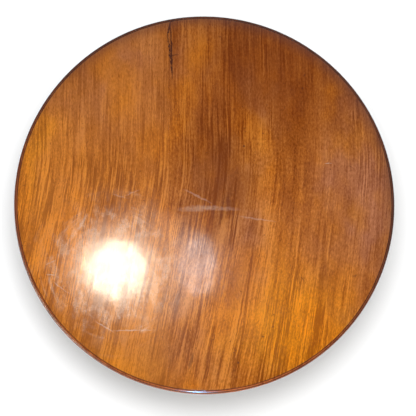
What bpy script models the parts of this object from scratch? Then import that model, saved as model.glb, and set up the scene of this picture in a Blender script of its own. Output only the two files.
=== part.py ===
"""Tilt-top breakfast table: a round mahogany top on a turned pillar with three castored legs.

Metres, +Z up. The origin is on the floor under the pillar. The grain of the top runs along Y.
The top tips up about a line along Y at the +X end of the block, and its catch is at the -X end.
"""

import math

import bmesh
import bpy
from mathutils import Matrix, Vector

# Whole table
TABLE_HEIGHT = 0.735
TOP_DIAMETER = 1.200
TOP_THICKNESS = 0.025

# Gaps between neighbouring pieces
SEAT_GAP = 0.0003
GLUE_LINE = 0.0002
BEARER_PLAY = 0.0010

# Moulded edge of the top: a square step down from the flat, a quarter round, and a narrow upright nose
EDGE_WIDTH = 0.017
EDGE_STEP = 0.003
EDGE_NOSE = 0.003
EDGE_ARRIS = 0.002

# Joints between the three boards of the top
LEFT_JOINT_X = -0.114
RIGHT_JOINT_X = 0.375

# Block on the pillar, and the pivots at its +X end
BLOCK_LENGTH = 0.300
BLOCK_WIDTH = 0.220
BLOCK_THICKNESS = 0.050
BLOCK_CHAMFER = 0.004
PIVOT_DEPTH = 0.026
PIVOT_RADIUS = 0.006
PIVOT_GRIP = 0.030
PIVOT_HEAD_RADIUS = 0.011
PIVOT_HEAD_HEIGHT = 0.004

# Bearers under the top
BEARER_LENGTH = 0.940
BEARER_WIDTH = 0.040
BEARER_DEPTH = 0.050
BEARER_END_DEPTH = 0.018
BEARER_TAPER = 0.150
BEARER_SCREW_INSET = 0.050
BEARER_SCREW_GRIP = 0.020

# Wood screws, from the top of the head to the point
LARGE_SCREW_LENGTH = 0.036
LARGE_SCREW_RADIUS = 0.0026
SMALL_SCREW_LENGTH = 0.016
SMALL_SCREW_RADIUS = 0.0018
SCREW_HEAD_RATIO = 1.9
SCREW_SLOT_RATIO = 0.35
SCREW_TIP_RATIO = 0.4
SCREW_TAPER_START = 0.75

# Brass spring catch under the top
CATCH_SETBACK = 0.003
CASE_LENGTH = 0.072
CASE_WIDTH = 0.034
CASE_WALL = 0.002
FLANGE_EAR = 0.014
FLANGE_THICKNESS = 0.0025
CATCH_SCREW_SPREAD = 0.048
BOLT_AXIS_DEPTH = 0.010
BOLT_WIDTH = 0.016
BOLT_THICKNESS = 0.0085
BOLT_THROW = 0.010
BOLT_BEVEL = 0.006
BOLT_PLAY = 0.0005
SPRING_ROOM = 0.014
SPRING_RADIUS = 0.0030
SPRING_WIRE_RADIUS = 0.0005
SPRING_TURNS = 5
KNOB_STEM_RADIUS = 0.0030
KNOB_STEM_GRIP = 0.005
KNOB_RADIUS = 0.009
KNOB_HEIGHT = 0.013
KNOB_COLLAR_RADIUS = 0.0063
KNOB_NECK_RADIUS = 0.0045
KNOB_NECK_DROP = 0.003
KNOB_BALL_RISE = 0.005
KNOB_BALL_START = 20.0

# Keeper of the catch, let into the end of the block
KEEPER_WIDTH = 0.052
KEEPER_HEIGHT = 0.022
KEEPER_THICKNESS = 0.002
KEEPER_SCREW_SPREAD = 0.036
KEEPER_MORTISE_DEPTH = 0.014

# Pillar, turned in one piece: drum for the legs, vase, capital and tenon
DRUM_RADIUS = 0.056
DRUM_BOTTOM = 0.172
DRUM_HEIGHT = 0.142
DRUM_ARRIS = 0.003
BASE_BEAD_HEIGHT = 0.014
BASE_BEAD_RADIUS = 0.060
BASE_COVE_HEIGHT = 0.022
BASE_COVE_RADIUS = 0.050
WAIST_RADIUS = 0.034
VASE_RADIUS = 0.057
VASE_BELLY = 0.24
NECK_RADIUS = 0.029
NECK_BEAD_HEIGHT = 0.011
NECK_BEAD_RADIUS = 0.037
CAPITAL_COVE_HEIGHT = 0.030
CAPITAL_RADIUS = 0.054
CAPITAL_NECK_RADIUS = 0.049
CAPITAL_BEAD_HEIGHT = 0.016
FILLET_HEIGHT = 0.004
TENON_RADIUS = 0.026
TENON_SHORTFALL = 0.0006

# Wedges in the tenon
WEDGE_TOP = 0.0045
WEDGE_TIP = 0.0018
WEDGE_LENGTH = 0.032
WEDGE_SPREAD = 0.020

# Legs: upper and lower outlines in the upright plane of a leg, by distance from the pillar's axis
LEG_ANGLES = (60.0, 180.0, 300.0)
LEG_ROOT_DROP = 0.012
LEG_FLAT = 0.050
LEG_REACH = 0.400
LEG_ROOT_WIDTH = 0.054
LEG_TOE_WIDTH = 0.038
LEG_TOE_HEIGHT = 0.036
LEG_ROOT_ROUND = 0.014
LEG_TOE_ROUND = 0.004
LEG_LOWER_ARRIS = 0.0015
LEG_KNEE = 0.110
LEG_SWEEP = 0.186
LEG_LOWER_KNEE = 0.075
LEG_LOWER_SWEEP = 0.159
LEG_LOWER_RISE = 0.016
LEG_LOWER_FALL = 0.017
LEG_INSTEP_RISE = 0.004
LEG_STATIONS = 14
DOVETAIL_MOUTH = 0.018
DOVETAIL_END = 0.026
DOVETAIL_DEPTH = 0.022
DOVETAIL_SHOULDER = 0.016

# Iron plate under the pillar
PLATE_RADIUS = 0.046
PLATE_ARM_WIDTH = 0.028
PLATE_ARM_REACH = 0.084
PLATE_THICKNESS = 0.003

# Brass toe caps and castors
CAP_LENGTH = 0.056
CAP_WALL = 0.002
CAP_LIP_LENGTH = 0.006
CAP_LIP_RISE = 0.0012
CAP_FRONT_ROUND = 0.004
CAP_SCREW_SETBACK = 0.014
CASTOR_SETBACK = 0.017
BOSS_RADIUS = 0.012
BOSS_HEIGHT = 0.009
PINTLE_RADIUS = 0.0035
PINTLE_HEAD_RADIUS = 0.007
PINTLE_HEAD_HEIGHT = 0.002
PINTLE_HEAD_FACE = 0.005
FORK_CROWN_RADIUS = 0.0140
FORK_CROWN_HEIGHT = 0.004
FORK_ARM_THICKNESS = 0.003
FORK_EYE_RADIUS = 0.006
FORK_EYE_START = 205.0
FORK_ARM_BACK = 0.008
FORK_ARM_FRONT = 0.012
CASTOR_TRAIL = 0.016
WHEEL_RADIUS = 0.019
WHEEL_WIDTH = 0.016
WHEEL_DISH = 0.0025
WHEEL_RIM_HEIGHT = 0.0045
WHEEL_HUB_RADIUS = 0.007
WHEEL_HUB_DRAFT = 0.0008
WHEEL_RIM_CORNER = 0.0015
WHEEL_PLAY = 0.0006
HEAD_ROOM = 0.0045
AXLE_RADIUS = 0.0025
AXLE_HEAD_RADIUS = 0.004
AXLE_HEAD_HEIGHT = 0.0012
AXLE_HEAD_FACE = 0.0028

# Facets
TOP_FACETS = 96
PILLAR_FACETS = 32
SCREW_FACETS = 8
PIN_FACETS = 12
WHEEL_FACETS = 20
ARC_STEPS = 4
EDGE_STEPS = 6
VASE_STEPS = 11
LEG_ROUND_STEPS = 3
PLATE_STEPS = 8
EYE_STEPS = 8
SPRING_STEPS = 8

# Points closer than this are one
WELD = 1e-6

# Heights and places that follow from the sizes above
TOP_RADIUS = TOP_DIAMETER / 2
UNDERSIDE = TABLE_HEIGHT - TOP_THICKNESS
BLOCK_TOP = UNDERSIDE - SEAT_GAP
BLOCK_BOTTOM = BLOCK_TOP - BLOCK_THICKNESS
BLOCK_END = BLOCK_LENGTH / 2
BLOCK_ROUND = PIVOT_DEPTH - SEAT_GAP
PIVOT_X = BLOCK_END - BLOCK_ROUND
PIVOT_Z = UNDERSIDE - PIVOT_DEPTH
BEARER_INNER = BLOCK_WIDTH / 2 + BEARER_PLAY
BEARER_OUTER = BEARER_INNER + BEARER_WIDTH
BEARER_MIDDLE = (BEARER_INNER + BEARER_OUTER) / 2
BEARER_SCREW_REACH = BEARER_LENGTH / 2 - BEARER_SCREW_INSET
BOLT_Z = UNDERSIDE - BOLT_AXIS_DEPTH
CASE_FRONT = -BLOCK_END - CATCH_SETBACK
CASE_BACK = CASE_FRONT - CASE_LENGTH
CASE_FLOOR = BOLT_Z - BOLT_THICKNESS / 2 - SEAT_GAP
CASE_BOTTOM = CASE_FLOOR - CASE_WALL
BOLT_BACK = CASE_BACK + CASE_WALL + SPRING_ROOM
KNOB_X = (BOLT_BACK + CASE_FRONT) / 2
PILLAR_TOP = BLOCK_BOTTOM - SEAT_GAP
DRUM_TOP = DRUM_BOTTOM + DRUM_HEIGHT
TENON_TOP = BLOCK_TOP - TENON_SHORTFALL
CROWN_BOTTOM = 2 * WHEEL_RADIUS + HEAD_ROOM
CROWN_TOP = CROWN_BOTTOM + FORK_CROWN_HEIGHT
BOSS_BOTTOM = CROWN_TOP + SEAT_GAP
TOE_BOTTOM = BOSS_BOTTOM + BOSS_HEIGHT
TOE_TOP = TOE_BOTTOM + LEG_TOE_HEIGHT
CAP_START = LEG_REACH + SEAT_GAP
CAP_END = CAP_START + CAP_LENGTH
CASTOR_REACH = CAP_END - CASTOR_SETBACK
AXLE_HEIGHT = WHEEL_RADIUS * math.cos(math.pi / WHEEL_FACETS)
ARM_INNER = WHEEL_WIDTH / 2 + WHEEL_PLAY
ARM_OUTER = ARM_INNER + FORK_ARM_THICKNESS
SMOOTH_ANGLE = math.radians(35)
TURN_OVER = Matrix.Rotation(math.pi, 4, "X")


def clear_scene():
    """Remove every object that the scene starts with."""
    for thing in list(bpy.data.objects):
        bpy.data.objects.remove(thing, do_unlink=True)


def finish(name, colour, roughness, metallic=0.0):
    """A plain material of one colour."""
    made = bpy.data.materials.new(name)
    made.use_nodes = True
    shader = made.node_tree.nodes["Principled BSDF"]
    shader.inputs["Base Color"].default_value = (*colour, 1.0)
    shader.inputs["Roughness"].default_value = roughness
    shader.inputs["Metallic"].default_value = metallic
    return made


def mesh_from(shape):
    """A mesh holding the shape, with its faces turned outwards."""
    bmesh.ops.remove_doubles(shape, verts=shape.verts, dist=WELD)
    bmesh.ops.recalc_face_normals(shape, faces=shape.faces)
    made = bpy.data.meshes.new("shape")
    shape.to_mesh(made)
    shape.free()
    return made


def box(low, high):
    """A block between two opposite corners."""
    shape = bmesh.new()
    bmesh.ops.create_cube(shape, size=1.0)
    size = [b - a for a, b in zip(low, high)]
    middle = [(a + b) / 2 for a, b in zip(low, high)]
    bmesh.ops.scale(shape, vec=size, verts=shape.verts)
    bmesh.ops.translate(shape, vec=middle, verts=shape.verts)
    return mesh_from(shape)


def prism(outline, depth):
    """An outline of 3-D points drawn out along a vector."""
    shape = bmesh.new()
    face = shape.faces.new([shape.verts.new(point) for point in outline])
    drawn = bmesh.ops.extrude_face_region(shape, geom=[face])
    moved = [item for item in drawn["geom"] if isinstance(item, bmesh.types.BMVert)]
    bmesh.ops.translate(shape, vec=depth, verts=moved)
    return mesh_from(shape)


def loft(sections):
    """A solid drawn from one section to the next; all have the same number of points."""
    shape = bmesh.new()
    face = shape.faces.new([shape.verts.new(point) for point in sections[0]])
    first = face
    for section in sections[1:]:
        drawn = bmesh.ops.extrude_face_region(shape, geom=[face])
        if face is not first:
            bmesh.ops.delete(shape, geom=[face], context="FACES_ONLY")
        face = [item for item in drawn["geom"] if isinstance(item, bmesh.types.BMFace)][0]
        for vertex, point in zip(face.verts, section):
            vertex.co = point
    return mesh_from(shape)


def turned(profile, facets, closed=False):
    """A profile of (radius, height) points turned about Z, with flat ends; a closed one makes a ring."""
    shape = bmesh.new()
    if not closed and profile[0][1] == profile[1][1]:
        profile = profile[1:]
    if not closed and profile[-1][1] == profile[-2][1]:
        profile = profile[:-1]
    points = [shape.verts.new((radius, 0.0, height)) for radius, height in profile]
    edges = [shape.edges.new(pair) for pair in zip(points, points[1:])]
    if closed:
        edges.append(shape.edges.new((points[-1], points[0])))
    bmesh.ops.spin(
        shape, geom=points + edges, axis=(0, 0, 1), cent=(0, 0, 0), angle=2 * math.pi,
        steps=facets, use_merge=True,
    )
    bmesh.ops.remove_doubles(shape, verts=shape.verts, dist=WELD)
    bmesh.ops.holes_fill(shape, edges=[edge for edge in shape.edges if edge.is_boundary], sides=0)
    return mesh_from(shape)


def cylinder(radius, bottom, top, facets):
    """A round bar about Z."""
    return turned([(0, bottom), (radius, bottom), (radius, top), (0, top)], facets)


def moved(mesh, matrix):
    """A copy of the mesh, placed by the matrix."""
    copy = mesh.copy()
    copy.transform(matrix)
    return copy


def boolean(mesh, tools, operation):
    """A new mesh: the first with the tools cut from it or joined to it."""
    body = bpy.data.objects.new("body", mesh)
    bpy.context.collection.objects.link(body)
    helpers = []
    for tool in tools:
        helper = bpy.data.objects.new("tool", tool)
        bpy.context.collection.objects.link(helper)
        step = body.modifiers.new("step", "BOOLEAN")
        step.operation = operation
        step.solver = "EXACT"
        step.object = helper
        helpers.append(helper)
    graph = bpy.context.evaluated_depsgraph_get()
    made = bpy.data.meshes.new_from_object(body.evaluated_get(graph))
    for helper in [body, *helpers]:
        bpy.data.objects.remove(helper, do_unlink=True)
    return made


def cut(mesh, *tools):
    """The mesh with each tool cut out of it."""
    return boolean(mesh, tools, "DIFFERENCE")


def joined(mesh, *others):
    """The mesh and the others as one solid."""
    return boolean(mesh, others, "UNION")


def axis_empty(name, location=(0, 0, 0), turn=0.0, parent=None):
    """An empty that carries the pieces of one joint or one leg."""
    made = bpy.data.objects.new(name, None)
    made.location = location
    made.rotation_euler = (0, 0, turn)
    made.parent = parent
    bpy.context.collection.objects.link(made)
    return made


def add_piece(name, mesh, material, parent=None, matrix=Matrix(), smooth=True):
    """One named piece; the matrix places it in its parent's frame."""
    if not mesh.materials:
        mesh.materials.append(material)
    if smooth:
        mesh.shade_smooth()
        mesh.set_sharp_from_angle(angle=SMOOTH_ANGLE)
    made = bpy.data.objects.new(name, mesh)
    made.parent = parent
    made.matrix_local = matrix
    bpy.context.collection.objects.link(made)
    return made


def arc(centre, radii, start, end, steps=ARC_STEPS):
    """Points along part of an ellipse, angles in degrees from the first axis."""
    angles = [math.radians(start + (end - start) * step / steps) for step in range(steps + 1)]
    return [(centre[0] + radii[0] * math.cos(a), centre[1] + radii[1] * math.sin(a)) for a in angles]


def blend(a, b, share):
    """The value a share of the way from a to b."""
    return a + (b - a) * share


def screw_profile(radius, length, grow=0.0, mouth=0.0):
    """Turning profile of a countersunk screw: head at 0, point below; grown for its hole."""
    head = radius * SCREW_HEAD_RATIO
    cone = head - radius
    tip = radius * SCREW_TIP_RATIO
    shank = radius + grow
    profile = [(0, -length - grow), (tip + grow, -length - grow), (shank, -length * SCREW_TAPER_START)]
    profile += [(shank, -cone - grow), (head + grow, -grow)]
    if grow:
        profile += [(head + grow, mouth + grow)]
    return profile + [(0, mouth + grow)]


def screw_mesh(radius, length):
    """A countersunk wood screw with a slot across its head."""
    head = radius * SCREW_HEAD_RATIO
    slot = radius * SCREW_SLOT_RATIO
    body = turned(screw_profile(radius, length), SCREW_FACETS)
    return cut(body, box((-2 * head, -slot, -slot), (2 * head, slot, slot)))


def screw_hole(radius, length, matrix, mouth):
    """The cutter for a screw's hole, open at its mouth."""
    return moved(turned(screw_profile(radius, length, SEAT_GAP, mouth), SCREW_FACETS), matrix)


def bearer_screw_places():
    """Where the bearer screws stand, heads down, in the table's frame."""
    seat = UNDERSIDE - BEARER_SCREW_GRIP
    rows = [(side, x) for side in (-1, 1) for x in (-BEARER_SCREW_REACH, 0.0, BEARER_SCREW_REACH)]
    return [Matrix.Translation((x, side * BEARER_MIDDLE, seat)) @ TURN_OVER for side, x in rows]


def catch_screw_places():
    """Where the screws of the catch stand, heads down."""
    middle = (CASE_FRONT + CASE_BACK) / 2
    seat = UNDERSIDE - SEAT_GAP - FLANGE_THICKNESS
    reach = CASE_WIDTH / 2 + FLANGE_EAR / 2
    half = CATCH_SCREW_SPREAD / 2
    corners = [(x, y) for x in (-half, half) for y in (-reach, reach)]
    return [Matrix.Translation((middle + x, y, seat)) @ TURN_OVER for x, y in corners]


def keeper_screw_places():
    """Where the screws of the keeper stand, heads to -X."""
    turn = Matrix.Rotation(-math.pi / 2, 4, "Y")
    half = KEEPER_SCREW_SPREAD / 2
    return [Matrix.Translation((-BLOCK_END, y, BOLT_Z)) @ turn for y in (-half, half)]


def plate_screw_place():
    """Where the screw of one arm of the iron plate stands in the leg's frame, head down."""
    seat = DRUM_BOTTOM - SEAT_GAP - PLATE_THICKNESS
    return Matrix.Translation((PLATE_ARM_REACH, 0, seat)) @ TURN_OVER


def cap_screw_place():
    """Where the screw of a toe cap stands in the leg's frame, head down."""
    return Matrix.Translation((CAP_START + CAP_SCREW_SETBACK, 0, TOE_BOTTOM)) @ TURN_OVER


def top_profile():
    """Half section of the top from its axis: flat, step, quarter round, nose and underside."""
    inner = TOP_RADIUS - EDGE_WIDTH
    spring = UNDERSIDE + EDGE_ARRIS + EDGE_NOSE
    rise = TABLE_HEIGHT - EDGE_STEP - spring
    profile = [(0, TABLE_HEIGHT), (inner, TABLE_HEIGHT)]
    profile += arc((inner, spring), (EDGE_WIDTH, rise), 90, 0, EDGE_STEPS)
    profile += [(TOP_RADIUS, UNDERSIDE + EDGE_ARRIS), (TOP_RADIUS - EDGE_ARRIS, UNDERSIDE), (0, UNDERSIDE)]
    return profile


def board_mesh(whole, low, high):
    """The part of the whole top between two cuts across X, with its screw holes."""
    reach = TOP_DIAMETER
    bounds = box((low, -reach, 0), (high, reach, 2 * TABLE_HEIGHT))
    board = boolean(whole.copy(), [bounds], "INTERSECT")
    tools = []
    for place in bearer_screw_places():
        if low < place.translation.x < high:
            tools.append(screw_hole(LARGE_SCREW_RADIUS, LARGE_SCREW_LENGTH, place, 0.0))
    for place in catch_screw_places():
        if low < place.translation.x < high:
            tools.append(screw_hole(SMALL_SCREW_RADIUS, SMALL_SCREW_LENGTH, place, 0.0))
    return cut(board, *tools)


def bearer_mesh(side):
    """One bearer: a bar with tapered ends, its pivot hole and its screw pockets."""
    half = BEARER_LENGTH / 2
    top = UNDERSIDE - SEAT_GAP
    deep = UNDERSIDE - BEARER_DEPTH
    shallow = UNDERSIDE - BEARER_END_DEPTH
    flat = half - BEARER_TAPER
    outline = [(-half, top), (-half, shallow), (-flat, deep), (flat, deep), (half, shallow), (half, top)]
    low = min(side * BEARER_INNER, side * BEARER_OUTER)
    body = prism([(x, low, z) for x, z in outline], (0, BEARER_WIDTH, 0))
    turn = Matrix.Translation((PIVOT_X, 0, PIVOT_Z)) @ Matrix.Rotation(math.pi / 2, 4, "X")
    bore = cylinder(PIVOT_RADIUS + SEAT_GAP, -BEARER_OUTER * 2, BEARER_OUTER * 2, PIN_FACETS)
    tools = [moved(bore, turn)]
    for place in bearer_screw_places():
        if place.translation.y * side > 0:
            tools.append(screw_hole(LARGE_SCREW_RADIUS, LARGE_SCREW_LENGTH, place, BEARER_DEPTH))
    return cut(body, *tools)


def pivot_mesh():
    """A headed iron pin about Z: its head at the top, its plain shank below."""
    length = PIVOT_GRIP + BEARER_PLAY + BEARER_WIDTH + SEAT_GAP
    dome = arc((0, 0), (PIVOT_HEAD_RADIUS, PIVOT_HEAD_HEIGHT), 0, 90)
    profile = [(0, -length), (PIVOT_RADIUS, -length), (PIVOT_RADIUS, 0), *dome]
    slot = PIVOT_RADIUS * SCREW_SLOT_RATIO / 2
    reach = 2 * PIVOT_HEAD_RADIUS
    notch = box((-reach, -slot, PIVOT_HEAD_HEIGHT / 2), (reach, slot, 2 * PIVOT_HEAD_HEIGHT))
    return cut(turned(profile, PIN_FACETS), notch)


def pivot_place(side):
    """Where a pivot pin stands in the table's frame."""
    turn = Matrix.Rotation(-side * math.pi / 2, 4, "X")
    return Matrix.Translation((PIVOT_X, side * (BEARER_OUTER + SEAT_GAP), PIVOT_Z)) @ turn


def bolt_way(start, end):
    """The cutter for the slot in which the bolt slides, between two places along X."""
    half = BOLT_WIDTH / 2 + BOLT_PLAY
    rise = BOLT_THICKNESS / 2 + BOLT_PLAY
    return box((start, -half, BOLT_Z - rise), (end, half, BOLT_Z + rise))


def block_mesh():
    """The block: one end rounded about the pivots, with its mortise, bores and the keeper's bed."""
    half = BLOCK_WIDTH / 2
    edge = BLOCK_CHAMFER
    outline = [(-BLOCK_END, BLOCK_TOP), (-BLOCK_END, BLOCK_BOTTOM + edge), (edge - BLOCK_END, BLOCK_BOTTOM)]
    outline += [(BLOCK_END - edge, BLOCK_BOTTOM), (BLOCK_END, BLOCK_BOTTOM + edge)]
    outline += arc((PIVOT_X, PIVOT_Z), (BLOCK_ROUND, BLOCK_ROUND), 0, 90)
    body = prism([(x, -half, z) for x, z in outline], (0, BLOCK_WIDTH, 0))
    mortise = cylinder(TENON_RADIUS + SEAT_GAP, BLOCK_BOTTOM - edge, BLOCK_TOP + edge, PILLAR_FACETS)
    bed = box(
        (-BLOCK_END - edge, -KEEPER_WIDTH / 2 - SEAT_GAP, BLOCK_TOP - KEEPER_HEIGHT - SEAT_GAP),
        (-BLOCK_END + KEEPER_THICKNESS + SEAT_GAP, KEEPER_WIDTH / 2 + SEAT_GAP, BLOCK_TOP + edge),
    )
    socket = bolt_way(-BLOCK_END - edge, -BLOCK_END + KEEPER_MORTISE_DEPTH)
    pin_hole = cylinder(PIVOT_RADIUS + SEAT_GAP, half - PIVOT_GRIP - SEAT_GAP, 2 * half, PIN_FACETS)
    tools = [mortise, bed, socket]
    for side in (-1, 1):
        turn = Matrix.Rotation(-side * math.pi / 2, 4, "X")
        tools.append(moved(pin_hole, Matrix.Translation((PIVOT_X, 0, PIVOT_Z)) @ turn))
    for place in keeper_screw_places():
        tools.append(screw_hole(SMALL_SCREW_RADIUS, SMALL_SCREW_LENGTH, place, 0.0))
    return cut(body, *tools)


def keeper_mesh():
    """The brass keeper: a plate with a slot for the bolt and two countersunk holes."""
    back = -BLOCK_END + KEEPER_THICKNESS
    half = KEEPER_WIDTH / 2
    plate = box((-BLOCK_END, -half, BLOCK_TOP - KEEPER_HEIGHT), (back, half, BLOCK_TOP))
    reach = 2 * KEEPER_THICKNESS
    slot = bolt_way(-BLOCK_END - reach, -BLOCK_END + reach)
    places = keeper_screw_places()
    holes = [screw_hole(SMALL_SCREW_RADIUS, SMALL_SCREW_LENGTH, place, reach) for place in places]
    return cut(plate, slot, *holes)


def case_mesh():
    """The catch's case: a brass box open at the top, with a flange to screw it under the top."""
    top = UNDERSIDE - SEAT_GAP
    half = CASE_WIDTH / 2
    reach = half + FLANGE_EAR
    wall = CASE_WALL
    flange = box((CASE_BACK, -reach, top - FLANGE_THICKNESS), (CASE_FRONT, reach, top))
    shell = box((CASE_BACK, -half, CASE_BOTTOM), (CASE_FRONT, half, top))
    hollow = box((CASE_BACK + wall, -half + wall, CASE_FLOOR), (CASE_FRONT - wall, half - wall, top + wall))
    mouth = box(
        (CASE_FRONT - 2 * wall, -BOLT_WIDTH / 2 - BOLT_PLAY, CASE_FLOOR),
        (CASE_FRONT + wall, BOLT_WIDTH / 2 + BOLT_PLAY, BOLT_Z + BOLT_THICKNESS / 2 + BOLT_PLAY),
    )
    side = KNOB_STEM_RADIUS + BOLT_PLAY
    slot_end = KNOB_X + BOLT_THROW + side
    knob_slot = box((KNOB_X - side, -side, CASE_BOTTOM - wall), (slot_end, side, CASE_FLOOR + wall))
    places = catch_screw_places()
    holes = [screw_hole(SMALL_SCREW_RADIUS, SMALL_SCREW_LENGTH, place, wall) for place in places]
    return cut(joined(shell, flange), hollow, mouth, knob_slot, *holes)


def bolt_mesh():
    """The catch's bolt: a bar with its nose bevelled below, and a hole for the knob's stem."""
    low = BOLT_Z - BOLT_THICKNESS / 2
    high = BOLT_Z + BOLT_THICKNESS / 2
    outline = [(BOLT_BACK, low), (CASE_FRONT - BOLT_BEVEL, low), (CASE_FRONT, low + BOLT_BEVEL)]
    outline += [(CASE_FRONT, high), (BOLT_BACK, high)]
    bar = prism([(x, -BOLT_WIDTH / 2, z) for x, z in outline], (0, BOLT_WIDTH, 0))
    hole_end = low + KNOB_STEM_GRIP + SEAT_GAP
    hole = cylinder(KNOB_STEM_RADIUS + SEAT_GAP, low - BOLT_BEVEL, hole_end, PIN_FACETS)
    return cut(bar, moved(hole, Matrix.Translation((KNOB_X, 0, 0))))


def knob_mesh():
    """The turned knob that hangs from the bolt, with its stem."""
    tip = BOLT_Z - BOLT_THICKNESS / 2 + KNOB_STEM_GRIP
    collar = CASE_BOTTOM - BOLT_PLAY
    foot = collar - KNOB_HEIGHT
    ball = foot + KNOB_BALL_RISE
    profile = [(0, tip), (KNOB_STEM_RADIUS, tip), (KNOB_STEM_RADIUS, collar)]
    profile += [(KNOB_COLLAR_RADIUS, collar), (KNOB_NECK_RADIUS, collar - KNOB_NECK_DROP)]
    profile += arc((0, ball), (KNOB_RADIUS, KNOB_BALL_RISE), KNOB_BALL_START, -90)
    return moved(turned(profile, PIN_FACETS), Matrix.Translation((KNOB_X, 0, 0)))


def spring_object(material, parent, origin):
    """The catch's coil spring, one helix along X between the bolt and the back of the case."""
    start = CASE_BACK + CASE_WALL + SPRING_WIRE_RADIUS + SEAT_GAP
    end = BOLT_BACK - SPRING_WIRE_RADIUS - SEAT_GAP
    steps = SPRING_TURNS * SPRING_STEPS
    curve = bpy.data.curves.new("catch_spring", "CURVE")
    curve.dimensions = "3D"
    curve.bevel_depth = SPRING_WIRE_RADIUS
    curve.bevel_resolution = 1
    curve.use_fill_caps = True
    curve.materials.append(material)
    line = curve.splines.new("POLY")
    line.points.add(steps)
    for step, point in enumerate(line.points):
        turn = 2 * math.pi * SPRING_TURNS * step / steps
        along = blend(start, end, step / steps)
        across = SPRING_RADIUS * math.cos(turn)
        up = BOLT_Z + SPRING_RADIUS * math.sin(turn)
        point.co = (along - origin.x, across - origin.y, up - origin.z, 1.0)
    pitch = (end - start) / SPRING_TURNS
    print("catch spring: gap between its turns", round((pitch - 2 * SPRING_WIRE_RADIUS) * 1000, 2), "mm")
    made = bpy.data.objects.new("catch_spring", curve)
    made.parent = parent
    bpy.context.collection.objects.link(made)


def bead(radius, waist, bottom, height):
    """A rounded ring of a turning, from a waist out to a radius and back."""
    middle = bottom + height / 2
    return arc((waist, middle), (radius - waist, height / 2), -90, 90)


def vase_line(bottom, top):
    """The pillar's vase: a full belly low down, drawn in to a waist below and a neck above."""
    belly = blend(bottom, top, VASE_BELLY)
    points = []
    for step in range(VASE_STEPS + 1):
        height = blend(bottom, top, step / VASE_STEPS)
        end, end_radius = (bottom, WAIST_RADIUS) if height < belly else (top, NECK_RADIUS)
        share = (height - belly) / (end - belly)
        swell = (1 + math.cos(math.pi * share)) / 2
        points.append((blend(end_radius, VASE_RADIUS, swell), height))
    return points


def pillar_profile():
    """Half section of the pillar from the bottom of its drum to the top of its tenon."""
    inner = DRUM_RADIUS - DRUM_ARRIS
    profile = [(0, DRUM_BOTTOM), (inner, DRUM_BOTTOM), (DRUM_RADIUS, DRUM_BOTTOM + DRUM_ARRIS)]
    profile += [(DRUM_RADIUS, DRUM_TOP)]
    profile += bead(BASE_BEAD_RADIUS, inner, DRUM_TOP, BASE_BEAD_HEIGHT)
    bead_top = DRUM_TOP + BASE_BEAD_HEIGHT
    waist = bead_top + FILLET_HEIGHT + BASE_COVE_HEIGHT
    profile += [(BASE_COVE_RADIUS, bead_top)]
    profile += arc((BASE_COVE_RADIUS, waist), (BASE_COVE_RADIUS - WAIST_RADIUS, BASE_COVE_HEIGHT), 270, 180)
    capital_bead = PILLAR_TOP - FILLET_HEIGHT - CAPITAL_BEAD_HEIGHT
    capital_cove = capital_bead - FILLET_HEIGHT
    neck_top = capital_cove - CAPITAL_COVE_HEIGHT
    neck = neck_top - NECK_BEAD_HEIGHT
    profile += vase_line(waist, neck)[1:]
    profile += bead(NECK_BEAD_RADIUS, NECK_RADIUS, neck, NECK_BEAD_HEIGHT)
    flare = CAPITAL_NECK_RADIUS - NECK_RADIUS
    profile += arc((CAPITAL_NECK_RADIUS, neck_top), (flare, CAPITAL_COVE_HEIGHT), 180, 90)[1:]
    profile += bead(CAPITAL_RADIUS, CAPITAL_NECK_RADIUS, capital_bead, CAPITAL_BEAD_HEIGHT)
    profile += [(CAPITAL_NECK_RADIUS, PILLAR_TOP), (TENON_RADIUS, PILLAR_TOP), (TENON_RADIUS, TENON_TOP)]
    return profile + [(0, TENON_TOP)]


def wedge_outline(grow):
    """Side outline of a tenon wedge about its own middle, grown for its kerf."""
    top = TENON_TOP + 2 * grow
    tip = TENON_TOP - WEDGE_LENGTH - grow
    return [(-WEDGE_TOP / 2 - grow, top), (-WEDGE_TIP / 2 - grow, tip), (WEDGE_TIP / 2 + grow, tip),
            (WEDGE_TOP / 2 + grow, top)]


def wedge_mesh(side, grow=0.0):
    """One wedge across the tenon, or the kerf for it when it is grown."""
    middle = side * WEDGE_SPREAD / 2
    half = math.sqrt(TENON_RADIUS ** 2 - (WEDGE_SPREAD / 2 + WEDGE_TOP / 2) ** 2) - 4 * SEAT_GAP
    if grow:
        half = 2 * TENON_RADIUS
    return prism([(middle + x, -half, z) for x, z in wedge_outline(grow)], (0, 2 * half, 0))


def dovetail_mesh(grow, bottom, top):
    """The sliding dovetail of a leg in the leg's frame, or its slot when it is grown."""
    mouth = DOVETAIL_MOUTH / 2 + grow
    end = DOVETAIL_END / 2 + grow
    inner = DRUM_RADIUS - DOVETAIL_DEPTH - grow
    outer = DRUM_RADIUS + DOVETAIL_DEPTH / 2
    outline = [(inner, -end), (DRUM_RADIUS, -mouth), (outer, -mouth), (outer, mouth), (DRUM_RADIUS, mouth)]
    outline += [(inner, end)]
    return prism([(x, y, bottom) for x, y in outline], (0, 0, top - bottom))


def dovetail_top():
    """Height at which a leg's dovetail ends, a shoulder below the top of the leg's root."""
    return DRUM_TOP - LEG_ROOT_DROP - DOVETAIL_SHOULDER


def pillar_mesh():
    """The turned pillar with its three dovetail slots and two wedge kerfs."""
    body = turned(pillar_profile(), PILLAR_FACETS)
    slot = dovetail_mesh(SEAT_GAP, DRUM_BOTTOM - DOVETAIL_DEPTH, dovetail_top() + SEAT_GAP)
    tools = [moved(slot, Matrix.Rotation(math.radians(angle), 4, "Z")) for angle in LEG_ANGLES]
    tools += [wedge_mesh(side, SEAT_GAP) for side in (-1, 1)]
    return cut(body, *tools)


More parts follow.
